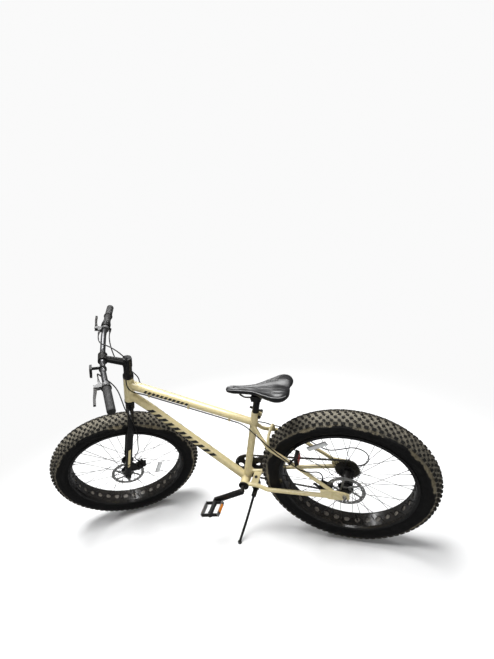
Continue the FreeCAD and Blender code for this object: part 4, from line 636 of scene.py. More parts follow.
frameSizes = {"head": 0.022, "topFront": 0.021, "topRear": 0.0155, "down": 0.0195, "seat": 0.0159,
              "shell": 0.021, "chainstay": 0.0095, "bead": 0.0026, "ripple": 0.0045}
framePoints = {"headBase": Vector((0.9217, 0.0, 0.4210)), "headUp": Vector((-0.351842, 0.0, 0.93606)),
               "topFront": Vector((0.8893, 0.0, 0.5071)), "topRear": Vector((0.3480, 0.0, 0.3047)),
               "downStart": Vector((0.9098, 0.0, 0.4528)), "downKnee": Vector((0.8370, 0.0, 0.3827)),
               "bracket": Vector((0.4580, 0.0, -0.0360)), "seatTop": Vector((0.3289, 0.0, 0.3637))}


def meetingLoop(start, way, radius, otherPoint, otherWay, otherRadius, steps=72):
    # Where a tube running along way leaves the wall of another tube
    way = Vector(way).normalized()
    otherWay = Vector(otherWay).normalized()
    first = way.orthogonal().normalized()
    second = way.cross(first)
    loop = []
    for index in range(steps):
        angle = 2 * math.pi * index / steps
        line = start + (first * math.cos(angle) + second * math.sin(angle)) * radius
        gap = line - otherPoint
        flatGap = gap - otherWay * gap.dot(otherWay)
        flatWay = way - otherWay * way.dot(otherWay)
        a = flatWay.dot(flatWay)
        b = 2 * flatGap.dot(flatWay)
        c = flatGap.dot(flatGap) - otherRadius ** 2
        inside = max(0.0, b * b - 4 * a * c)
        loop.append(line + way * ((-b + math.sqrt(inside)) / (2 * a)))
    return loop


def weldBead(shape, loop, bead):
    # A row of small overlapping ripples
    length = sum((loop[k] - loop[k - 1]).length for k in range(len(loop)))
    ripples = round(length / frameSizes["ripple"])
    fine = []
    for index in range(len(loop)):
        after = loop[(index + 1) % len(loop)]
        fine += [loop[index].lerp(after, share / 4) for share in range(4)]
    waves = [abs(math.sin(math.pi * ripples * k / len(fine))) for k in range(len(fine))]
    radii = [bead * (0.86 + 0.14 * wave) for wave in waves]
    shape.add(*tubeAlong([bikeToWorld @ point for point in fine], radii, 8, True))


def makeWelds():
    shape = Shape()
    place = framePoints
    size = frameSizes
    topWay = place["topRear"] - place["topFront"]
    downWay = place["bracket"] - place["downKnee"]
    downHeadWay = place["downKnee"] - place["downStart"]
    seatWay = place["seatTop"] - place["bracket"]
    shell = (place["bracket"], Vector((0.0, 1.0, 0.0)), size["shell"])
    head = (place["headBase"], place["headUp"], size["head"])
    joints = [(place["topFront"], topWay, size["topFront"], *head),
              (place["downStart"], downHeadWay, size["down"], *head),
              (place["topRear"], topWay * -1, size["topRear"], place["bracket"], seatWay, size["seat"]),
              (place["bracket"], downWay * -1, size["down"], *shell),
              (place["bracket"], seatWay, size["seat"], *shell)]
    for joint in joints:
        weldBead(shape, meetingLoop(*joint), size["bead"])
    for side in (1, -1):
        stayStart = place["bracket"] + Vector((-0.006, 0.038 * side, -0.002))
        stayWay = Vector((-0.057, 0.004 * side, 0.0))
        loop = meetingLoop(stayStart, stayWay, size["chainstay"], *shell, 48)
        weldBead(shape, loop, size["bead"] * 0.8)
    return shape.finish("weldBeads", ["tanPaint"], "frame", True)


makeWelds()
print("welds made")

# Plain bars and stripes on the tubes

barSettings = {"lift": 0.0005, "count": 11, "start": 0.014, "width": 0.019, "step": 0.034, "slant": 0.024,
               "low": -22.0, "high": 50.0, "topStart": 0.085, "topWidth": 0.012, "topStep": 0.019,
               "topSlant": 0.0096, "topLow": -22.0, "topHigh": 26.0}
forkSettings = {"side": 0.074, "top": -0.050, "footAhead": 0.030, "foot": -0.461, "leg": 0.0145,
                "spread": 20.0, "slant": 0.010, "stripes": ((0.195, 0.300), (0.306, 0.318))}


def wrapPatch(shape, toWorld, start, way, outer, radius, alongs, angles, slant):
    # A thin patch bent round a tube, its edges slanted along the tube
    way = Vector(way).normalized()
    outer = (Vector(outer) - way * Vector(outer).dot(way)).normalized()
    other = way.cross(outer)
    rows = 10
    points = []
    faces = []
    for row in range(rows + 1):
        share = row / rows
        angle = math.radians(angles[0] + (angles[1] - angles[0]) * share)
        for along in alongs:
            base = start + way * (along + slant * (share - 0.5))
            reach = (outer * math.cos(angle) + other * math.sin(angle)) * radius(along)
            points.append(toWorld @ (base + reach))
    for row in range(rows):
        faces.append((2 * row, 2 * row + 1, 2 * row + 3, 2 * row + 2))
    shape.add(points, faces)


def makeTubeBars():
    shape = Shape()
    settings = barSettings
    size = frameSizes
    topWay = framePoints["topRear"] - framePoints["topFront"]
    downWay = framePoints["bracket"] - framePoints["downKnee"]

    def topRadius(along):
        share = along / topWay.length
        return size["topFront"] + (size["topRear"] - size["topFront"]) * share + settings["lift"]

    def downRadius(along):
        return size["down"] + settings["lift"]
    for side in (1, -1):
        outer = Vector((0.0, side, 0.0))
        for index in range(settings["count"]):
            along = settings["topStart"] + index * settings["topStep"]
            wrapPatch(shape, bikeToWorld, framePoints["topFront"], topWay, outer, topRadius,
                      (along, along + settings["topWidth"]),
                      (-side * settings["topLow"], -side * settings["topHigh"]), settings["topSlant"])
        for index in range(settings["count"]):
            along = settings["start"] + index * settings["step"]
            wrapPatch(shape, bikeToWorld, framePoints["downKnee"], downWay, outer, downRadius,
                      (along, along + settings["width"]), (-side * settings["low"], -side * settings["high"]),
                      settings["slant"])
    return shape.finish("tubeBars", ["decalBlack"], "frame", True)


def makeForkStripes():
    shape = Shape()
    settings = forkSettings

    def legRadius(along):
        return settings["leg"] + barSettings["lift"]
    for side in (1, -1):
        top = Vector((0.0, settings["side"] * side, settings["top"]))
        foot = Vector((settings["footAhead"], settings["side"] * side, settings["foot"]))
        for stripe in settings["stripes"]:
            wrapPatch(shape, steerToWorld, top, foot - top, Vector((0.0, side, 0.0)), legRadius, stripe,
                      (-settings["spread"], settings["spread"]), settings["slant"])
    return shape.finish("forkStripes", ["tanPaint"], "steering", True)


makeTubeBars()
makeForkStripes()
print("tube bars made")

# Saddle

saddleSettings = {"base": 0.4587, "rear": 0.1577, "length": 0.270, "half": 0.082, "nose": 0.019,
                  "full": 0.042, "rows": 54, "around": 56, "under": 0.72, "belly": 0.45, "notch": 0.024,
                  "notchHalf": 0.020, "notchEnd": 0.30, "groove": 0.0018, "grooveAt": 0.62,
                  "grooveHalf": 0.0045, "channel": 0.0035, "channelHalf": 0.17, "sewnEnd": 0.93,
                  "sewnFade": 0.12, "held": 0.012, "voxel": 0.0045, "pressure": 4.0, "frames": 20,
                  "cap": 0.003, "smoothing": 26, "shrink": 0.0022}


def saddleTable():
    # Share of the length, half width, underside, top, place of the crest, dip of the middle
    wide = saddleSettings["half"]
    nose = saddleSettings["nose"]
    full = saddleSettings["full"]
    return [(0.0, wide * 0.62, 0.014, full - 0.006, 0.60, 0.004),
            (0.06, wide * 0.90, 0.006, full, 0.55, 0.005),
            (0.18, wide, 0.002, full + 0.003, 0.50, 0.005),
            (0.36, wide * 0.72, 0.0, full - 0.003, 0.45, 0.005),
            (0.54, wide * 0.39, 0.0, full - 0.008, 0.42, 0.004),
            (0.72, nose * 1.18, 0.0, full - 0.009, 0.40, 0.002),
            (0.90, nose * 1.04, 0.001, full - 0.008, 0.40, 0.001),
            (1.0, nose * 0.86, 0.006, full - 0.010, 0.40, 0.0006)]


def saddleRow(share):
    # Rows joined by smooth curves whose slopes come from the rows beside them
    table = saddleTable()
    last = len(table) - 1
    index = max(k for k in range(last) if table[k][0] <= share or k == 0)
    first, second = table[index], table[index + 1]
    before, after = table[max(0, index - 1)], table[min(last, index + 2)]
    gap = second[0] - first[0]
    part = (share - first[0]) / gap
    row = []
    for k in range(1, 6):
        startSlope = (second[k] - before[k]) / (second[0] - before[0]) * gap
        endSlope = (after[k] - first[k]) / (after[0] - first[0]) * gap
        row.append((2 * part ** 3 - 3 * part ** 2 + 1) * first[k]
                   + (part ** 3 - 2 * part ** 2 + part) * startSlope
                   + (3 * part ** 2 - 2 * part ** 3) * second[k] + (part ** 3 - part ** 2) * endSlope)
    return row


def smoothLoop(corners, place):
    # A closed smooth curve through corners, place from 0 to 1
    count = len(corners)
    spot = place * count
    index = int(spot) % count
    part = spot - int(spot)
    a, b, c, d = (Vector(corners[(index + k) % count]) for k in (-1, 0, 1, 2))
    return 0.5 * (2 * b + (c - a) * part + (2 * a - 5 * b + 4 * c - d) * part ** 2
                  + (3 * b - a - 3 * c + d) * part ** 3)


def saddlePoint(share, place):
    settings = saddleSettings
    half, low, high, crest, dip = saddleRow(share)
    crest = half * crest
    under = half * settings["under"]
    belly = low + (high - low) * settings["belly"]
    right = [(under, low), (half * 0.95, low + (belly - low) * 0.45), (half, belly),
             (half * 0.9, high - (high - belly) * 0.24), (crest, high), (crest * 0.5, high - dip * 0.6)]
    corners = [(0.0, low)] + right + [(0.0, high - dip)] + [(-y, z) for y, z in reversed(right)]
    flat = smoothLoop(corners, place)
    x = settings["rear"] + settings["length"] * share
    fade = max(0.0, 1 - share / settings["notchEnd"])
    x += settings["notch"] * math.exp(-(flat[0] / settings["notchHalf"]) ** 2) * fade
    return Vector((x, flat[0], settings["base"] + flat[1]))


def saddleSewn(point):
    # How far the cover is drawn down at a point of the upper side
    settings = saddleSettings
    share = min(1.0, max(0.0, (point[0] - settings["rear"]) / settings["length"]))
    half, low, high = saddleRow(share)[:3]
    if point[2] - settings["base"] < low + (high - low) * 0.5:
        return 0.0
    beside = abs(point[1]) - half * settings["grooveAt"]
    edge = settings["groove"] * math.exp(-(beside / settings["grooveHalf"]) ** 2)
    middle = settings["channel"] * math.exp(-(point[1] / (half * settings["channelHalf"])) ** 2)
    return (edge + middle) * min(1.0, max(0.0, (settings["sewnEnd"] - share) / settings["sewnFade"]))


def swell(piece, settings):
    # A fine skin under a little pressure, held along its foot, no point moving past the cap
    remesh = piece.modifiers.new("remesh", "REMESH")
    remesh.mode = "VOXEL"
    remesh.voxel_size = settings["voxel"]
    depsgraph = bpy.context.evaluated_depsgraph_get()
    mesh = bpy.data.meshes.new_from_object(piece.evaluated_get(depsgraph))
    mesh.materials.clear()
    mesh.materials.append(finishes["saddleVinyl"])
    piece.modifiers.clear()
    piece.data = mesh
    begin = [vertex.co.copy() for vertex in mesh.vertices]
    local = [bikeToWorld.inverted() @ place for place in begin]
    held = piece.vertex_groups.new(name="held")
    foot = settings["base"] + settings["held"]
    held.add([k for k, place in enumerate(local) if place[2] < foot], 1.0, "REPLACE")
    cloth = piece.modifiers.new("swell", "CLOTH")
    cloth.settings.use_pressure = True
    cloth.settings.uniform_pressure_force = settings["pressure"]
    cloth.settings.vertex_group_mass = "held"
    cloth.settings.effector_weights.gravity = 0.0
    for number in range(1, settings["frames"] + 1):
        scene.frame_set(number)
    depsgraph = bpy.context.evaluated_depsgraph_get()
    ended = piece.evaluated_get(depsgraph).to_mesh()
    moves = [vertex.co - place for vertex, place in zip(ended.vertices, begin)]
    piece.evaluated_get(depsgraph).to_mesh_clear()
    piece.modifiers.clear()
    scene.frame_set(1)
    for vertex, place, move in zip(mesh.vertices, begin, moves):
        if move.length > settings["cap"]:
            move = move * (settings["cap"] / move.length)
        vertex.co = place + move
    mesh.update()
    smooth = piece.modifiers.new("smooth", "SMOOTH")
    smooth.factor = 0.5
    smooth.iterations = settings["smoothing"]
    depsgraph = bpy.context.evaluated_depsgraph_get()
    piece.data = bpy.data.meshes.new_from_object(piece.evaluated_get(depsgraph))
    piece.modifiers.clear()
    print("saddle swelled by up to", round(1000 * max(move.length for move in moves), 1), "mm before the cap")


def makeSaddle():
    settings = saddleSettings
    rows, around = settings["rows"], settings["around"]
    points = []
    faces = []
    for row in range(rows + 1):
        share = 0.5 - 0.5 * math.cos(math.pi * row / rows)
        ring = [saddlePoint(share, k / around) for k in range(around)]
        middle = sum(ring, Vector()) / around
        for place in ring:
            inward = (middle - place) * (settings["shrink"] / max(0.010, (middle - place).length))
            points.append(bikeToWorld @ (place + inward))
    for row in range(rows):
        here, there = row * around, (row + 1) * around
        for k in range(around):
            after = (k + 1) % around
            faces.append((here + k, here + after, there + after, there + k))
    for row in (0, rows):
        centre = sum((points[row * around + k] for k in range(around)), Vector()) / around
        out = bikeToWorld.to_3x3() @ Vector((-0.004 if row == 0 else 0.005, 0.0, 0.0))
        points.append(centre + out)
        last = len(points) - 1
        for k in range(around):
            pair = (row * around + k, row * around + (k + 1) % around)
            faces.append((last, *pair) if row else (last, pair[1], pair[0]))
    saddle = addPiece("saddleCover", points, faces, ["saddleVinyl"], None, None, True)
    swell(saddle, settings)
    down = bikeToWorld.to_3x3() @ Vector((0.0, 0.0, -1.0))
    for vertex in saddle.data.vertices:
        vertex.co += down * saddleSewn(bikeToWorld.inverted() @ vertex.co)
    saddle.data.polygons.foreach_set("use_smooth", [True] * len(saddle.data.polygons))
    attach(saddle, "seat")
    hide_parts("saddle")
    modifier = saddle.modifiers.new("smooth", "SUBSURF")
    modifier.levels = 1
    modifier.render_levels = 1
    return saddle


seamSettings = {"stitchPlaces": (0.395, 0.605), "stitchStart": 0.05, "stitchEnd": 0.86, "stitchStep": 0.0185,
                "stitch": (0.0, 0.006, 0.012), "stitchRadius": 0.0006, "stitchLift": 0.0003,
                "pipingHighlightPlaces": (0.27, 0.73), "pipingSteps": 70, "pipingRadius": 0.0012, "pipingLift": 0.0004}


def makeSaddleSeamsAndHighlight(saddle):
    # A row of light stitches each side, and a pale piped edge along the flank, laid on the cover; the piping
    # is a real seam whose pale colour is a painted highlight along the flank
    shape = Shape()
    settings = seamSettings
    depsgraph = bpy.context.evaluated_depsgraph_get()

    def laid(share, place, lift):
        spot = bikeToWorld @ saddlePoint(share, place)
        nearest, normal = saddle.closest_point_on_mesh(spot, depsgraph=depsgraph)[1:3]
        return nearest + normal * lift
    for place in settings["stitchPlaces"]:
        share = settings["stitchStart"]
        while share < settings["stitchEnd"]:
            path = [laid(share + step, place, settings["stitchLift"]) for step in settings["stitch"]]
            shape.add(*tubeAlong(path, settings["stitchRadius"], 6))
            share += settings["stitchStep"]
    steps = settings["pipingSteps"]
    # The pale piping strips are partly a real seam and partly a painted highlight along the flank
    for place in settings["pipingHighlightPlaces"]:
        path = [laid(0.03 + 0.93 * k / steps, place, settings["pipingLift"]) for k in range(steps + 1)]
        shape.add(*tubeAlong(path, settings["pipingRadius"], 8))
    return shape.finish("saddleSeamsAndHighlight", ["greyPanel"], "seat", True)


makeSaddleSeamsAndHighlight(makeSaddle())
print("saddle made")

# Chain

chainSettings = {"pitch": 0.0127, "side": -0.065, "cageAngle": -66.351, "guide": (0.004, -0.093),
                 "cage": 0.062, "bracket": (0.458, -0.036), "teeth": (36, 20, 11, 11), "rollers": 110,
                 "runSteps": 40, "arcSteps": 60, "eye": 0.0040, "waist": 0.0029, "plate": 0.0008,
                 "inner": 0.0016, "outer": 0.0025, "pinHalf": 0.0034}
pinProfile = [(0.0, 0.0), (0.0018, 0.0), (0.0018, 0.0018), (0.0037, 0.0018), (0.0037, 0.0050),
              (0.0018, 0.0050), (0.0018, 0.0068), (0.0, 0.0068)]


def chainCircles():
    # Ring, cog, guide pulley and tension pulley, each with the sense the chain passes it
    settings = chainSettings
    radii = [settings["pitch"] / (2 * math.sin(math.pi / teeth)) for teeth in settings["teeth"]]
    angle = math.radians(settings["cageAngle"])
    guide = Vector(settings["guide"])
    tension = guide + Vector((math.cos(angle), math.sin(angle))) * settings["cage"]
    centres = [Vector(settings["bracket"]), Vector((0.0, 0.0)), guide, tension]
    return list(zip(centres, radii, (1, 1, -1, 1)))


def chainLine():
    # Straight runs tangent to the circles, arcs between them, as a fine closed line
    circles = chainCircles()
    runSteps, arcSteps = chainSettings["runSteps"], chainSettings["arcSteps"]
    runs = []
    for index in range(4):
        first, radius, sense = circles[index]
        second, otherRadius, otherSense = circles[(index + 1) % 4]
        gap = second - first
        lean = math.acos((sense * radius - otherSense * otherRadius) / gap.length)
        heading = math.atan2(gap[1], gap[0]) - lean
        normal = Vector((math.cos(heading), math.sin(heading)))
        runs.append((first + normal * (sense * radius), second + normal * (otherSense * otherRadius)))
    line = []
    for index in range(4):
        start, end = runs[index]
        line += [start.lerp(end, k / runSteps) for k in range(runSteps)]
        centre, radius, sense = circles[(index + 1) % 4]
        into = math.atan2(*(end - centre).yx)
        away = math.atan2(*(runs[(index + 1) % 4][0] - centre).yx)
        sweep = (away - into) * sense % (2 * math.pi)
        for k in range(arcSteps):
            angle = into + sense * sweep * k / arcSteps
            line.append(centre + Vector((math.cos(angle), math.sin(angle))) * radius)
    return line


def rollerPlaces():
    line = chainLine()
    line.append(line[0])
    steps = [(b - a).length for a, b in zip(line, line[1:])]
    pitch = sum(steps) / chainSettings["rollers"]
    places = []
    walked = 0.0
    for index, step in enumerate(steps):
        while len(places) * pitch < walked + step and len(places) < chainSettings["rollers"]:
            places.append(line[index].lerp(line[index + 1], (len(places) * pitch - walked) / step))
        walked += step
    return places


def linkOutline(length):
    # Two round eyes joined by a narrower waist
    eye, waist = chainSettings["eye"], chainSettings["waist"]
    outline = []
    for along, start, edge in ((0.0, 90, -waist), (length, 270, waist)):
        for k in range(9):
            angle = math.radians(start + 22.5 * k)
            outline.append((along + eye * math.cos(angle), eye * math.sin(angle)))
        outline.append((length / 2, edge))
    return outline


def makeChain():
    shape = Shape()
    settings = chainSettings
    places = rollerPlaces()
    side, plate = settings["side"], settings["plate"]
    pinWay = bikeToWorld.to_3x3() @ Vector((0.0, 1.0, 0.0))
    for index, first in enumerate(places):
        run = places[(index + 1) % len(places)] - first
        way = run / run.length
        turn = Matrix(((way[0], -way[1], 0.0), (0.0, 0.0, 1.0), (way[1], way[0], 0.0))).to_4x4()
        outline = linkOutline(run.length)
        inner = settings["inner"] if index % 2 else settings["outer"]
        for place in (inner, -inner - plate):
            spot = Matrix.Translation((first[0], side + place, first[1])) @ turn
            shape.add(*prismFrom(outline, plate, bikeToWorld @ spot))
        spot = bikeToWorld @ Vector((first[0], side - settings["pinHalf"], first[1]))
        shape.add(*lathed(pinProfile, facing(spot, pinWay), 12))
    chain = shape.finish("chainLinks", ["chainSteel"], "frame")
    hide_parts("chain")
    return chain


makeChain()
print("chain made")

# Pedals

pedalSettings = {"crank": 0.170, "angle": -28.0, "start": 0.0975, "width": 0.076, "half": 0.046,
                 "tall": 0.012, "cage": 0.003, "tilt": 12.0, "teeth": 9, "tooth": 0.0032, "arm": 0.009,
                 "lensHalf": 0.022, "lensTall": 0.007, "lensThick": 0.004, "holder": 0.0232,
                 "holderHalf": 0.0016, "holderTall": 0.0078}
barrelProfile = [(0.0066, 0.0), (0.0110, 0.0), (0.0120, 0.0012), (0.0120, 0.016), (0.0102, 0.022),
                 (0.0102, 0.054), (0.0120, 0.060), (0.0120, 0.0745), (0.0105, 0.0758), (0.0, 0.0758)]


def cagePlate(width, tall, teeth):
    # A plate with a row of teeth along its upper and lower edges
    tooth = pedalSettings["tooth"]
    upper = [(width * k / (teeth * 2), tall if k % 2 else tall - tooth) for k in range(teeth * 2 + 1)]
    return upper + [(x, -y) for x, y in reversed(upper)]


def makePedal(name, side, body, node):
    settings = pedalSettings
    angle = math.radians(settings["angle"] + (0 if side > 0 else 180))
    eye = framePoints["bracket"] + wheelWay(angle) * settings["crank"]
    tilt = Matrix.Rotation(math.radians(settings["tilt"]), 4, "Y")
    turn = tilt if side > 0 else Matrix.Rotation(math.pi, 4, "Z")
    place = bikeToWorld @ Matrix.Translation(eye) @ turn
    start, half, tall, cage, arm = (settings[key] for key in ("start", "half", "tall", "cage", "arm"))
    end = start + settings["width"]
    middle = (start + end) / 2
    upright = Matrix(((0.0, 0.0, -1.0), (1.0, 0.0, 0.0), (0.0, 1.0, 0.0))).to_4x4()
    shape = Shape()
    shape.add(*lathed(barrelProfile, place @ facing((0.0, start, 0.0), (0.0, 1.0, 0.0)), 24))
    for near, far in ((start, start + arm), (end - arm, end)):
        for sign in (-1, 1):
            low, high = sorted((sign * arm, sign * (half - cage)))
            shape.add(*roundedBox((low, near, -tall * 0.6), (high, far, tall * 0.6), 0.0012, place))
    for sign in (-1, 1):
        spot = place @ Matrix.Translation((half if sign > 0 else -half + cage, start, 0.0)) @ upright
        shape.add(*prismFrom(cagePlate(settings["width"], tall, settings["teeth"]), cage, spot), 1)
        near, far = sorted((sign * half, sign * (half + settings["lensThick"])))
        wide, lens = settings["lensHalf"], settings["lensTall"]
        shape.add(*roundedBox((near, middle - wide, -lens), (far, middle + wide, lens), 0.001, place), 2)
        for edge in (-1, 1):
            holder = middle + edge * settings["holder"]
            wide, rise = settings["holderHalf"], settings["holderTall"]
            low, high = (near - 0.0002, holder - wide, -rise), (far, holder + wide, rise)
            shape.add(*roundedBox(low, high, 0.0006, place))
    pedal = shape.finish(name, ["blackPlastic", "cageSilver", "amberLens"], body)
    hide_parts(node)
    return pedal


makePedal("leftCagePedal", 1, "left_pedal", "left_pedal")
makePedal("rightCagePedal", -1, "right_pedal", "right_pedal")
print("pedals made")

# Cables

cableSettings = {"radius": 0.0025, "ferrule": 0.0033, "ferruleLength": 0.011}
cableRoutes = {
    "frontBrakeCable": [(0.2929, 0.1974, 0.9986), (0.3109, 0.1755, 1.0076), (0.3582, 0.1243, 0.9953),
                        (0.3727, 0.0946, 0.9640), (0.3672, 0.0597, 0.9184), (0.3653, 0.0384, 0.8701),
                        (0.3712, 0.0289, 0.8177), (0.3747, 0.0235, 0.7638), (0.3660, 0.0183, 0.7075),
                        (0.3676, 0.0046, 0.6541), (0.3826, -0.0105, 0.6015), (0.4082, -0.0210, 0.5437),
                        (0.4300, -0.0335, 0.4868), (0.4872, -0.0464, 0.4400), (0.4769, -0.0657, 0.4046)],
    "rearBrakeCable": [(0.4568, -0.0617, 1.0950), (0.4462, -0.0374, 1.0870), (0.3978, 0.0163, 1.0768),
                       (0.3470, 0.0298, 1.0711), (0.3025, 0.0303, 1.0395), (0.2789, 0.0210, 0.9933),
                       (0.2989, 0.0369, 0.9490), (0.3173, 0.0287, 0.9053), (0.3325, 0.0151, 0.8655),
                       (0.3286, -0.0057, 0.8326), (0.2980, -0.0290, 0.8109), (0.2708, -0.0303, 0.8013),
                       (0.0965, -0.0389, 0.7400), (-0.0778, -0.0475, 0.6787), (-0.1377, -0.0505, 0.6576),
                       (-0.2009, -0.0202, 0.6217), (-0.2351, -0.0115, 0.5905), (-0.2733, 0.0011, 0.5647),
                       (-0.3355, 0.0117, 0.5192), (-0.3832, 0.0024, 0.4710), (-0.4566, -0.0265, 0.4619),
                       (-0.4446, -0.0347, 0.4040)],
    "shiftCable": [(0.4354, -0.1070, 1.0829), (0.4195, -0.0704, 1.0708), (0.4104, -0.0525, 1.0159),
                   (0.4044, -0.0545, 0.9601), (0.3337, -0.0777, 0.8812), (0.3286, -0.0652, 0.8409),
                   (0.2980, -0.0488, 0.8137), (0.2708, -0.0501, 0.8041), (0.0965, -0.0587, 0.7428),
                   (-0.0778, -0.0673, 0.6815), (-0.1377, -0.0703, 0.6604), (-0.2009, -0.1093, 0.6343),
                   (-0.2351, -0.1264, 0.6066), (-0.2733, -0.1455, 0.5853), (-0.3339, -0.1654, 0.5423),
                   (-0.4047, -0.1763, 0.4760), (-0.4519, -0.1885, 0.4385), (-0.5142, -0.1772, 0.4602),
                   (-0.5661, -0.1840, 0.4696), (-0.6144, -0.1921, 0.4408), (-0.6247, -0.2010, 0.3916),
                   (-0.5970, -0.2063, 0.3538), (-0.5390, -0.2050, 0.3471)]}
cableBlends = {"rearBrakeCable": ((0.30, 0.03, 1.00), (0.30, -0.02, 0.83)),
               "shiftCable": ((0.37, -0.06, 1.00), (0.32, -0.06, 0.84))}
cableNodes = {"frontBrakeCable": "front_brake_cable", "rearBrakeCable": "rear_brake_cable",
              "shiftCable": "shift_cable"}


def routeLine(name, corners):
    # The smooth line of a route, read from a NURBS spline with the corners as its control points
    curve = bpy.data.curves.new(name + "Route", "CURVE")
    curve.dimensions = "3D"
    spline = curve.splines.new("NURBS")
    spline.points.add(len(corners) - 1)
    for point, corner in zip(spline.points, corners):
        point.co = (*corner, 1.0)
    spline.order_u = 3
    spline.use_endpoint_u = True
    spline.resolution_u = 12
    guide = bpy.data.objects.new(name + "Route", curve)
    scene.collection.objects.link(guide)
    depsgraph = bpy.context.evaluated_depsgraph_get()
    mesh = bpy.data.meshes.new_from_object(guide.evaluated_get(depsgraph))
    line = [vertex.co.copy() for vertex in mesh.vertices]
    bpy.data.objects.remove(guide)
    bpy.data.meshes.remove(mesh)
    return line


def makeCable(name):
    corners = cableRoutes[name]
    line = routeLine(name, corners)
    points, faces = tubeAlong(line, cableSettings["radius"], 12)
    body = None if name in cableBlends else "steering"
    cable = addPiece(name, points, faces, ["cableBlack"], body, None, True)
    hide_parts(cableNodes[name])
    if name in cableBlends:
        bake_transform(cable)
    cap, length = cableSettings["ferrule"], cableSettings["ferruleLength"]
    profile = [(0.0026, 0.0), (cap, 0.0), (cap, length - 0.001), (0.0028, length), (0.0024, length)]
    endBody = "frame" if name in cableBlends else "steering"
    ends = (("Start", line[0], line[3], "steering"), ("End", line[-1], line[-4], endBody))
    for word, spot, after, rider in ends:
        shape = Shape()
        shape.add(*lathed(profile, facing(spot, after - spot), 16))
        shape.finish(name + word + "Ferrule", ["blackSteel"], rider, True)


for cableName in cableRoutes:
    makeCable(cableName)
print("cables made")

# Lenses of the front and rear reflectors

lensSettings = {"rim": 0.0016, "proud": 0.0002,
                "rear": {"centre": (0.1709, 0.0760, 0.1905), "low": (-0.0092, -0.0225, -0.0165),
                         "high": (-0.0080, 0.0225, 0.0165)},
                "front": {"origin": (0.09345, 0.090, 0.25745), "outboard": (-0.0051, 0.070, 0.0289),
                          "low": (0.0480, -0.0285, -0.0185), "high": (0.0492, 0.0285, 0.0105)}}


def ribbedLens(shape, low, high, place):
    # A bevelled lens with a raised rim
    shape.add(*roundedBox(low, high, 0.0004, place))
    rim, proud = lensSettings["rim"], lensSettings["proud"]
    bars = [((low[1] - rim, low[2] - rim), (high[1] + rim, low[2])),
            ((low[1] - rim, high[2]), (high[1] + rim, high[2] + rim)),
            ((low[1] - rim, low[2]), (low[1], high[2])), ((high[1], low[2]), (high[1] + rim, high[2]))]
    for first, second in bars:
        shape.add(*roundedBox((low[0] - proud, *first), (high[0] + proud, *second), 0.0003, place), 1)


def makeLenses():
    shape = Shape()
    rear = lensSettings["rear"]
    ribbedLens(shape, rear["low"], rear["high"], bikeToWorld @ Matrix.Translation(rear["centre"]))
    shape.finish("rearLens", ["redLens", "blackPlastic"], "frame")
    shape = Shape()
    front = lensSettings["front"]
    outboard = Vector(front["outboard"]).normalized()
    ahead = Vector((1.0, 0.0, 0.0))
    ahead = (ahead - outboard * ahead.dot(outboard)).normalized()
    turn = Matrix((ahead, outboard, ahead.cross(outboard))).transposed().to_4x4()
    place = steerToWorld @ Matrix.Translation(front["origin"]) @ turn
    ribbedLens(shape, front["low"], front["high"], place)
    shape.finish("frontLens", ["whiteLens", "blackPlastic"], "steering")


makeLenses()
print("lenses made")

# Bolts on the cranks and rotors

boltSettings = {"crank": {"radius": 0.0085, "height": 0.004, "side": 0.0935},
                "rotor": {"circle": 0.0205, "radius": 0.0036, "height": 0.0022, "count": 6,
                          "sides": {"front": 0.0530, "rear": 0.0630}}}


def makeBolts():
    rotor, crank = boltSettings["rotor"], boltSettings["crank"]
    for end, side in rotor["sides"].items():
        shape = Shape()
        place = wheelPlaces[end] @ Matrix.Translation((0.0, side, 0.0))
        way = place.to_3x3() @ Vector((0.0, 1.0, 0.0))
        for index in range(rotor["count"]):
            spot = wheelWay(2 * math.pi * index / rotor["count"]) * rotor["circle"]
            socketBolt(shape, place @ spot, way, rotor["radius"], rotor["height"])
        shape.finish(end + "RotorBolts", ["blackSteel"], end + "_wheel")
    shape = Shape()
    for side in (1, -1):
        spot = bikeToWorld @ (framePoints["bracket"] + Vector((0.0, side * crank["side"], 0.0)))
        way = bikeToWorld.to_3x3() @ Vector((0.0, side, 0.0))
        socketBolt(shape, spot, way, crank["radius"], crank["height"])
    shape.finish("crankBolts", ["blackSteel"], "crankset")


makeBolts()
print("bolts made")

# Floor, light and camera

def shaderNode(tree, kind, values):
    node = addNode(tree, kind)
    feedAll(tree, node, values)
    return node.outputs[0]


def mixShaders(tree, share, first, second):
    return shaderNode(tree, "ShaderNodeMixShader", {0: share, 1: first, 2: second})


floorSettings = {"size": 400.0, "colour": (0.93, 0.93, 0.93), "near": 0.85, "far": 2.1, "white": 0.955,
                 "inReflections": 0.13}
floorMesh = bpy.data.meshes.new("floor")
half = floorSettings["size"] / 2
floorCorners = [(-half, -half, 0), (half, -half, 0), (half, half, 0), (-half, half, 0)]
floorMesh.from_pydata(floorCorners, [], [(0, 1, 2, 3)])
floor = bpy.data.objects.new("floor", floorMesh)
scene.collection.objects.link(floor)


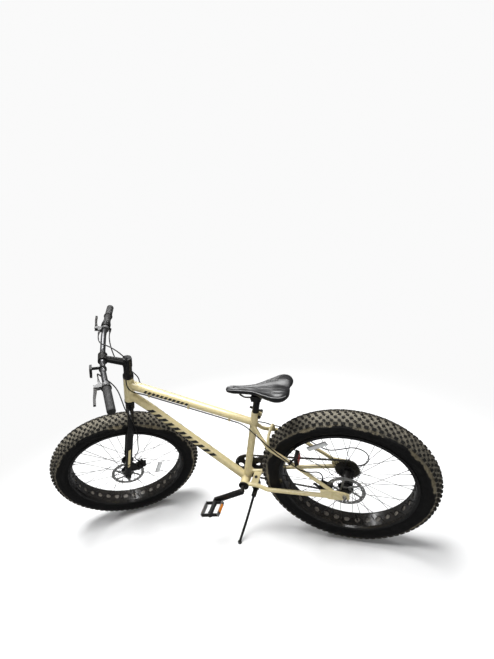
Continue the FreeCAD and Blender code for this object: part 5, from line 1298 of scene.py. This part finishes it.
def floorFinish():
    # Plain diffuse near the bike, fading into the white of the background
    material = bpy.data.materials.new("paleFloor")
    material.use_nodes = True
    tree = material.node_tree
    tree.nodes.clear()
    out = addNode(tree, "ShaderNodeOutputMaterial")
    path = addNode(tree, "ShaderNodeLightPath")
    where = addNode(tree, "ShaderNodeTexCoord")
    distance = addNode(tree, "ShaderNodeVectorMath", operation="LENGTH")
    tree.links.new(where.outputs["Object"], distance.inputs[0])
    away = addNode(tree, "ShaderNodeMapRange", interpolation_type="SMOOTHSTEP")
    feedAll(tree, away, {"Value": distance.outputs["Value"], "From Min": floorSettings["near"],
                         "From Max": floorSettings["far"]})
    share = worked(tree, "MULTIPLY", away.outputs["Result"], path.outputs["Is Camera Ray"])
    pale = shaderNode(tree, "ShaderNodeBsdfDiffuse", {"Color": floorSettings["colour"]})
    glow = shaderNode(tree, "ShaderNodeEmission", {"Strength": floorSettings["white"]})
    dim = shaderNode(tree, "ShaderNodeEmission", {"Strength": floorSettings["inReflections"]})
    seen = mixShaders(tree, path.outputs["Is Glossy Ray"], mixShaders(tree, share, pale, glow), dim)
    tree.links.new(seen, out.inputs["Surface"])
    return material


floorMesh.materials.append(floorFinish())

worldSettings = {"soft": {"Color": (0.93, 0.96, 1.0), "Strength": 0.13},
                 "white": {"Color": (0.955, 0.955, 0.955), "Strength": 1.0}, "dim": {"Strength": 0.16}}


def makeWorld():
    world = bpy.data.worlds.new("studio")
    scene.world = world
    world.use_nodes = True
    tree = world.node_tree
    tree.nodes.clear()
    out = addNode(tree, "ShaderNodeOutputWorld")
    path = addNode(tree, "ShaderNodeLightPath")
    soft, white, dim = (shaderNode(tree, "ShaderNodeBackground", worldSettings[key])
                        for key in ("soft", "white", "dim"))
    either = worked(tree, "MAXIMUM", path.outputs["Is Camera Ray"], path.outputs["Is Transmission Ray"])
    seen = mixShaders(tree, path.outputs["Is Glossy Ray"], mixShaders(tree, either, soft, white), dim)
    tree.links.new(seen, out.inputs["Surface"])


makeWorld()
lamps = {"keySoft": {"place": (0.3, 0.1, 3.4), "aim": (0.0, 0.1, 0.3), "size": 2.0, "power": 190.0},
         "fillSoft": {"place": (-2.8, 2.4, 2.2), "aim": (0.0, 0.0, 0.4), "size": 2.0, "power": 22.0},
         "backSoft": {"place": (1.6, -2.6, 2.4), "aim": (0.0, 0.0, 0.4), "size": 0.9, "power": 34.0}}
for lampName, settings in lamps.items():
    light = bpy.data.lights.new(lampName, "AREA")
    light.energy = settings["power"]
    light.size = settings["size"]
    lamp = bpy.data.objects.new(lampName, light)
    lamp.location = settings["place"]
    aim = Vector(settings["aim"]) - Vector(settings["place"])
    lamp.rotation_euler = aim.to_track_quat("-Z", "Y").to_euler()
    scene.collection.objects.link(lamp)

cameraSettings = {"place": (-0.733531, 1.238720, 1.557188), "right": (-0.934529, -0.311386, -0.172320),
                  "up": (-0.030448, -0.412467, 0.910464), "lens": 21.547, "shift": (0.005159, 0.033445)}
cameraData = bpy.data.cameras.new("photoCamera")
cameraData.lens = cameraSettings["lens"]
cameraData.sensor_width = 36.0
cameraData.shift_x, cameraData.shift_y = cameraSettings["shift"]
camera = bpy.data.objects.new("photoCamera", cameraData)
right = Vector(cameraSettings["right"]).normalized()
up = Vector(cameraSettings["up"]).normalized()
back = right.cross(up)
turn = Matrix((right, up, back)).transposed().to_4x4()
camera.matrix_world = Matrix.Translation(cameraSettings["place"]) @ turn
scene.collection.objects.link(camera)
scene.camera = camera
print("stage, lamps and camera ready")
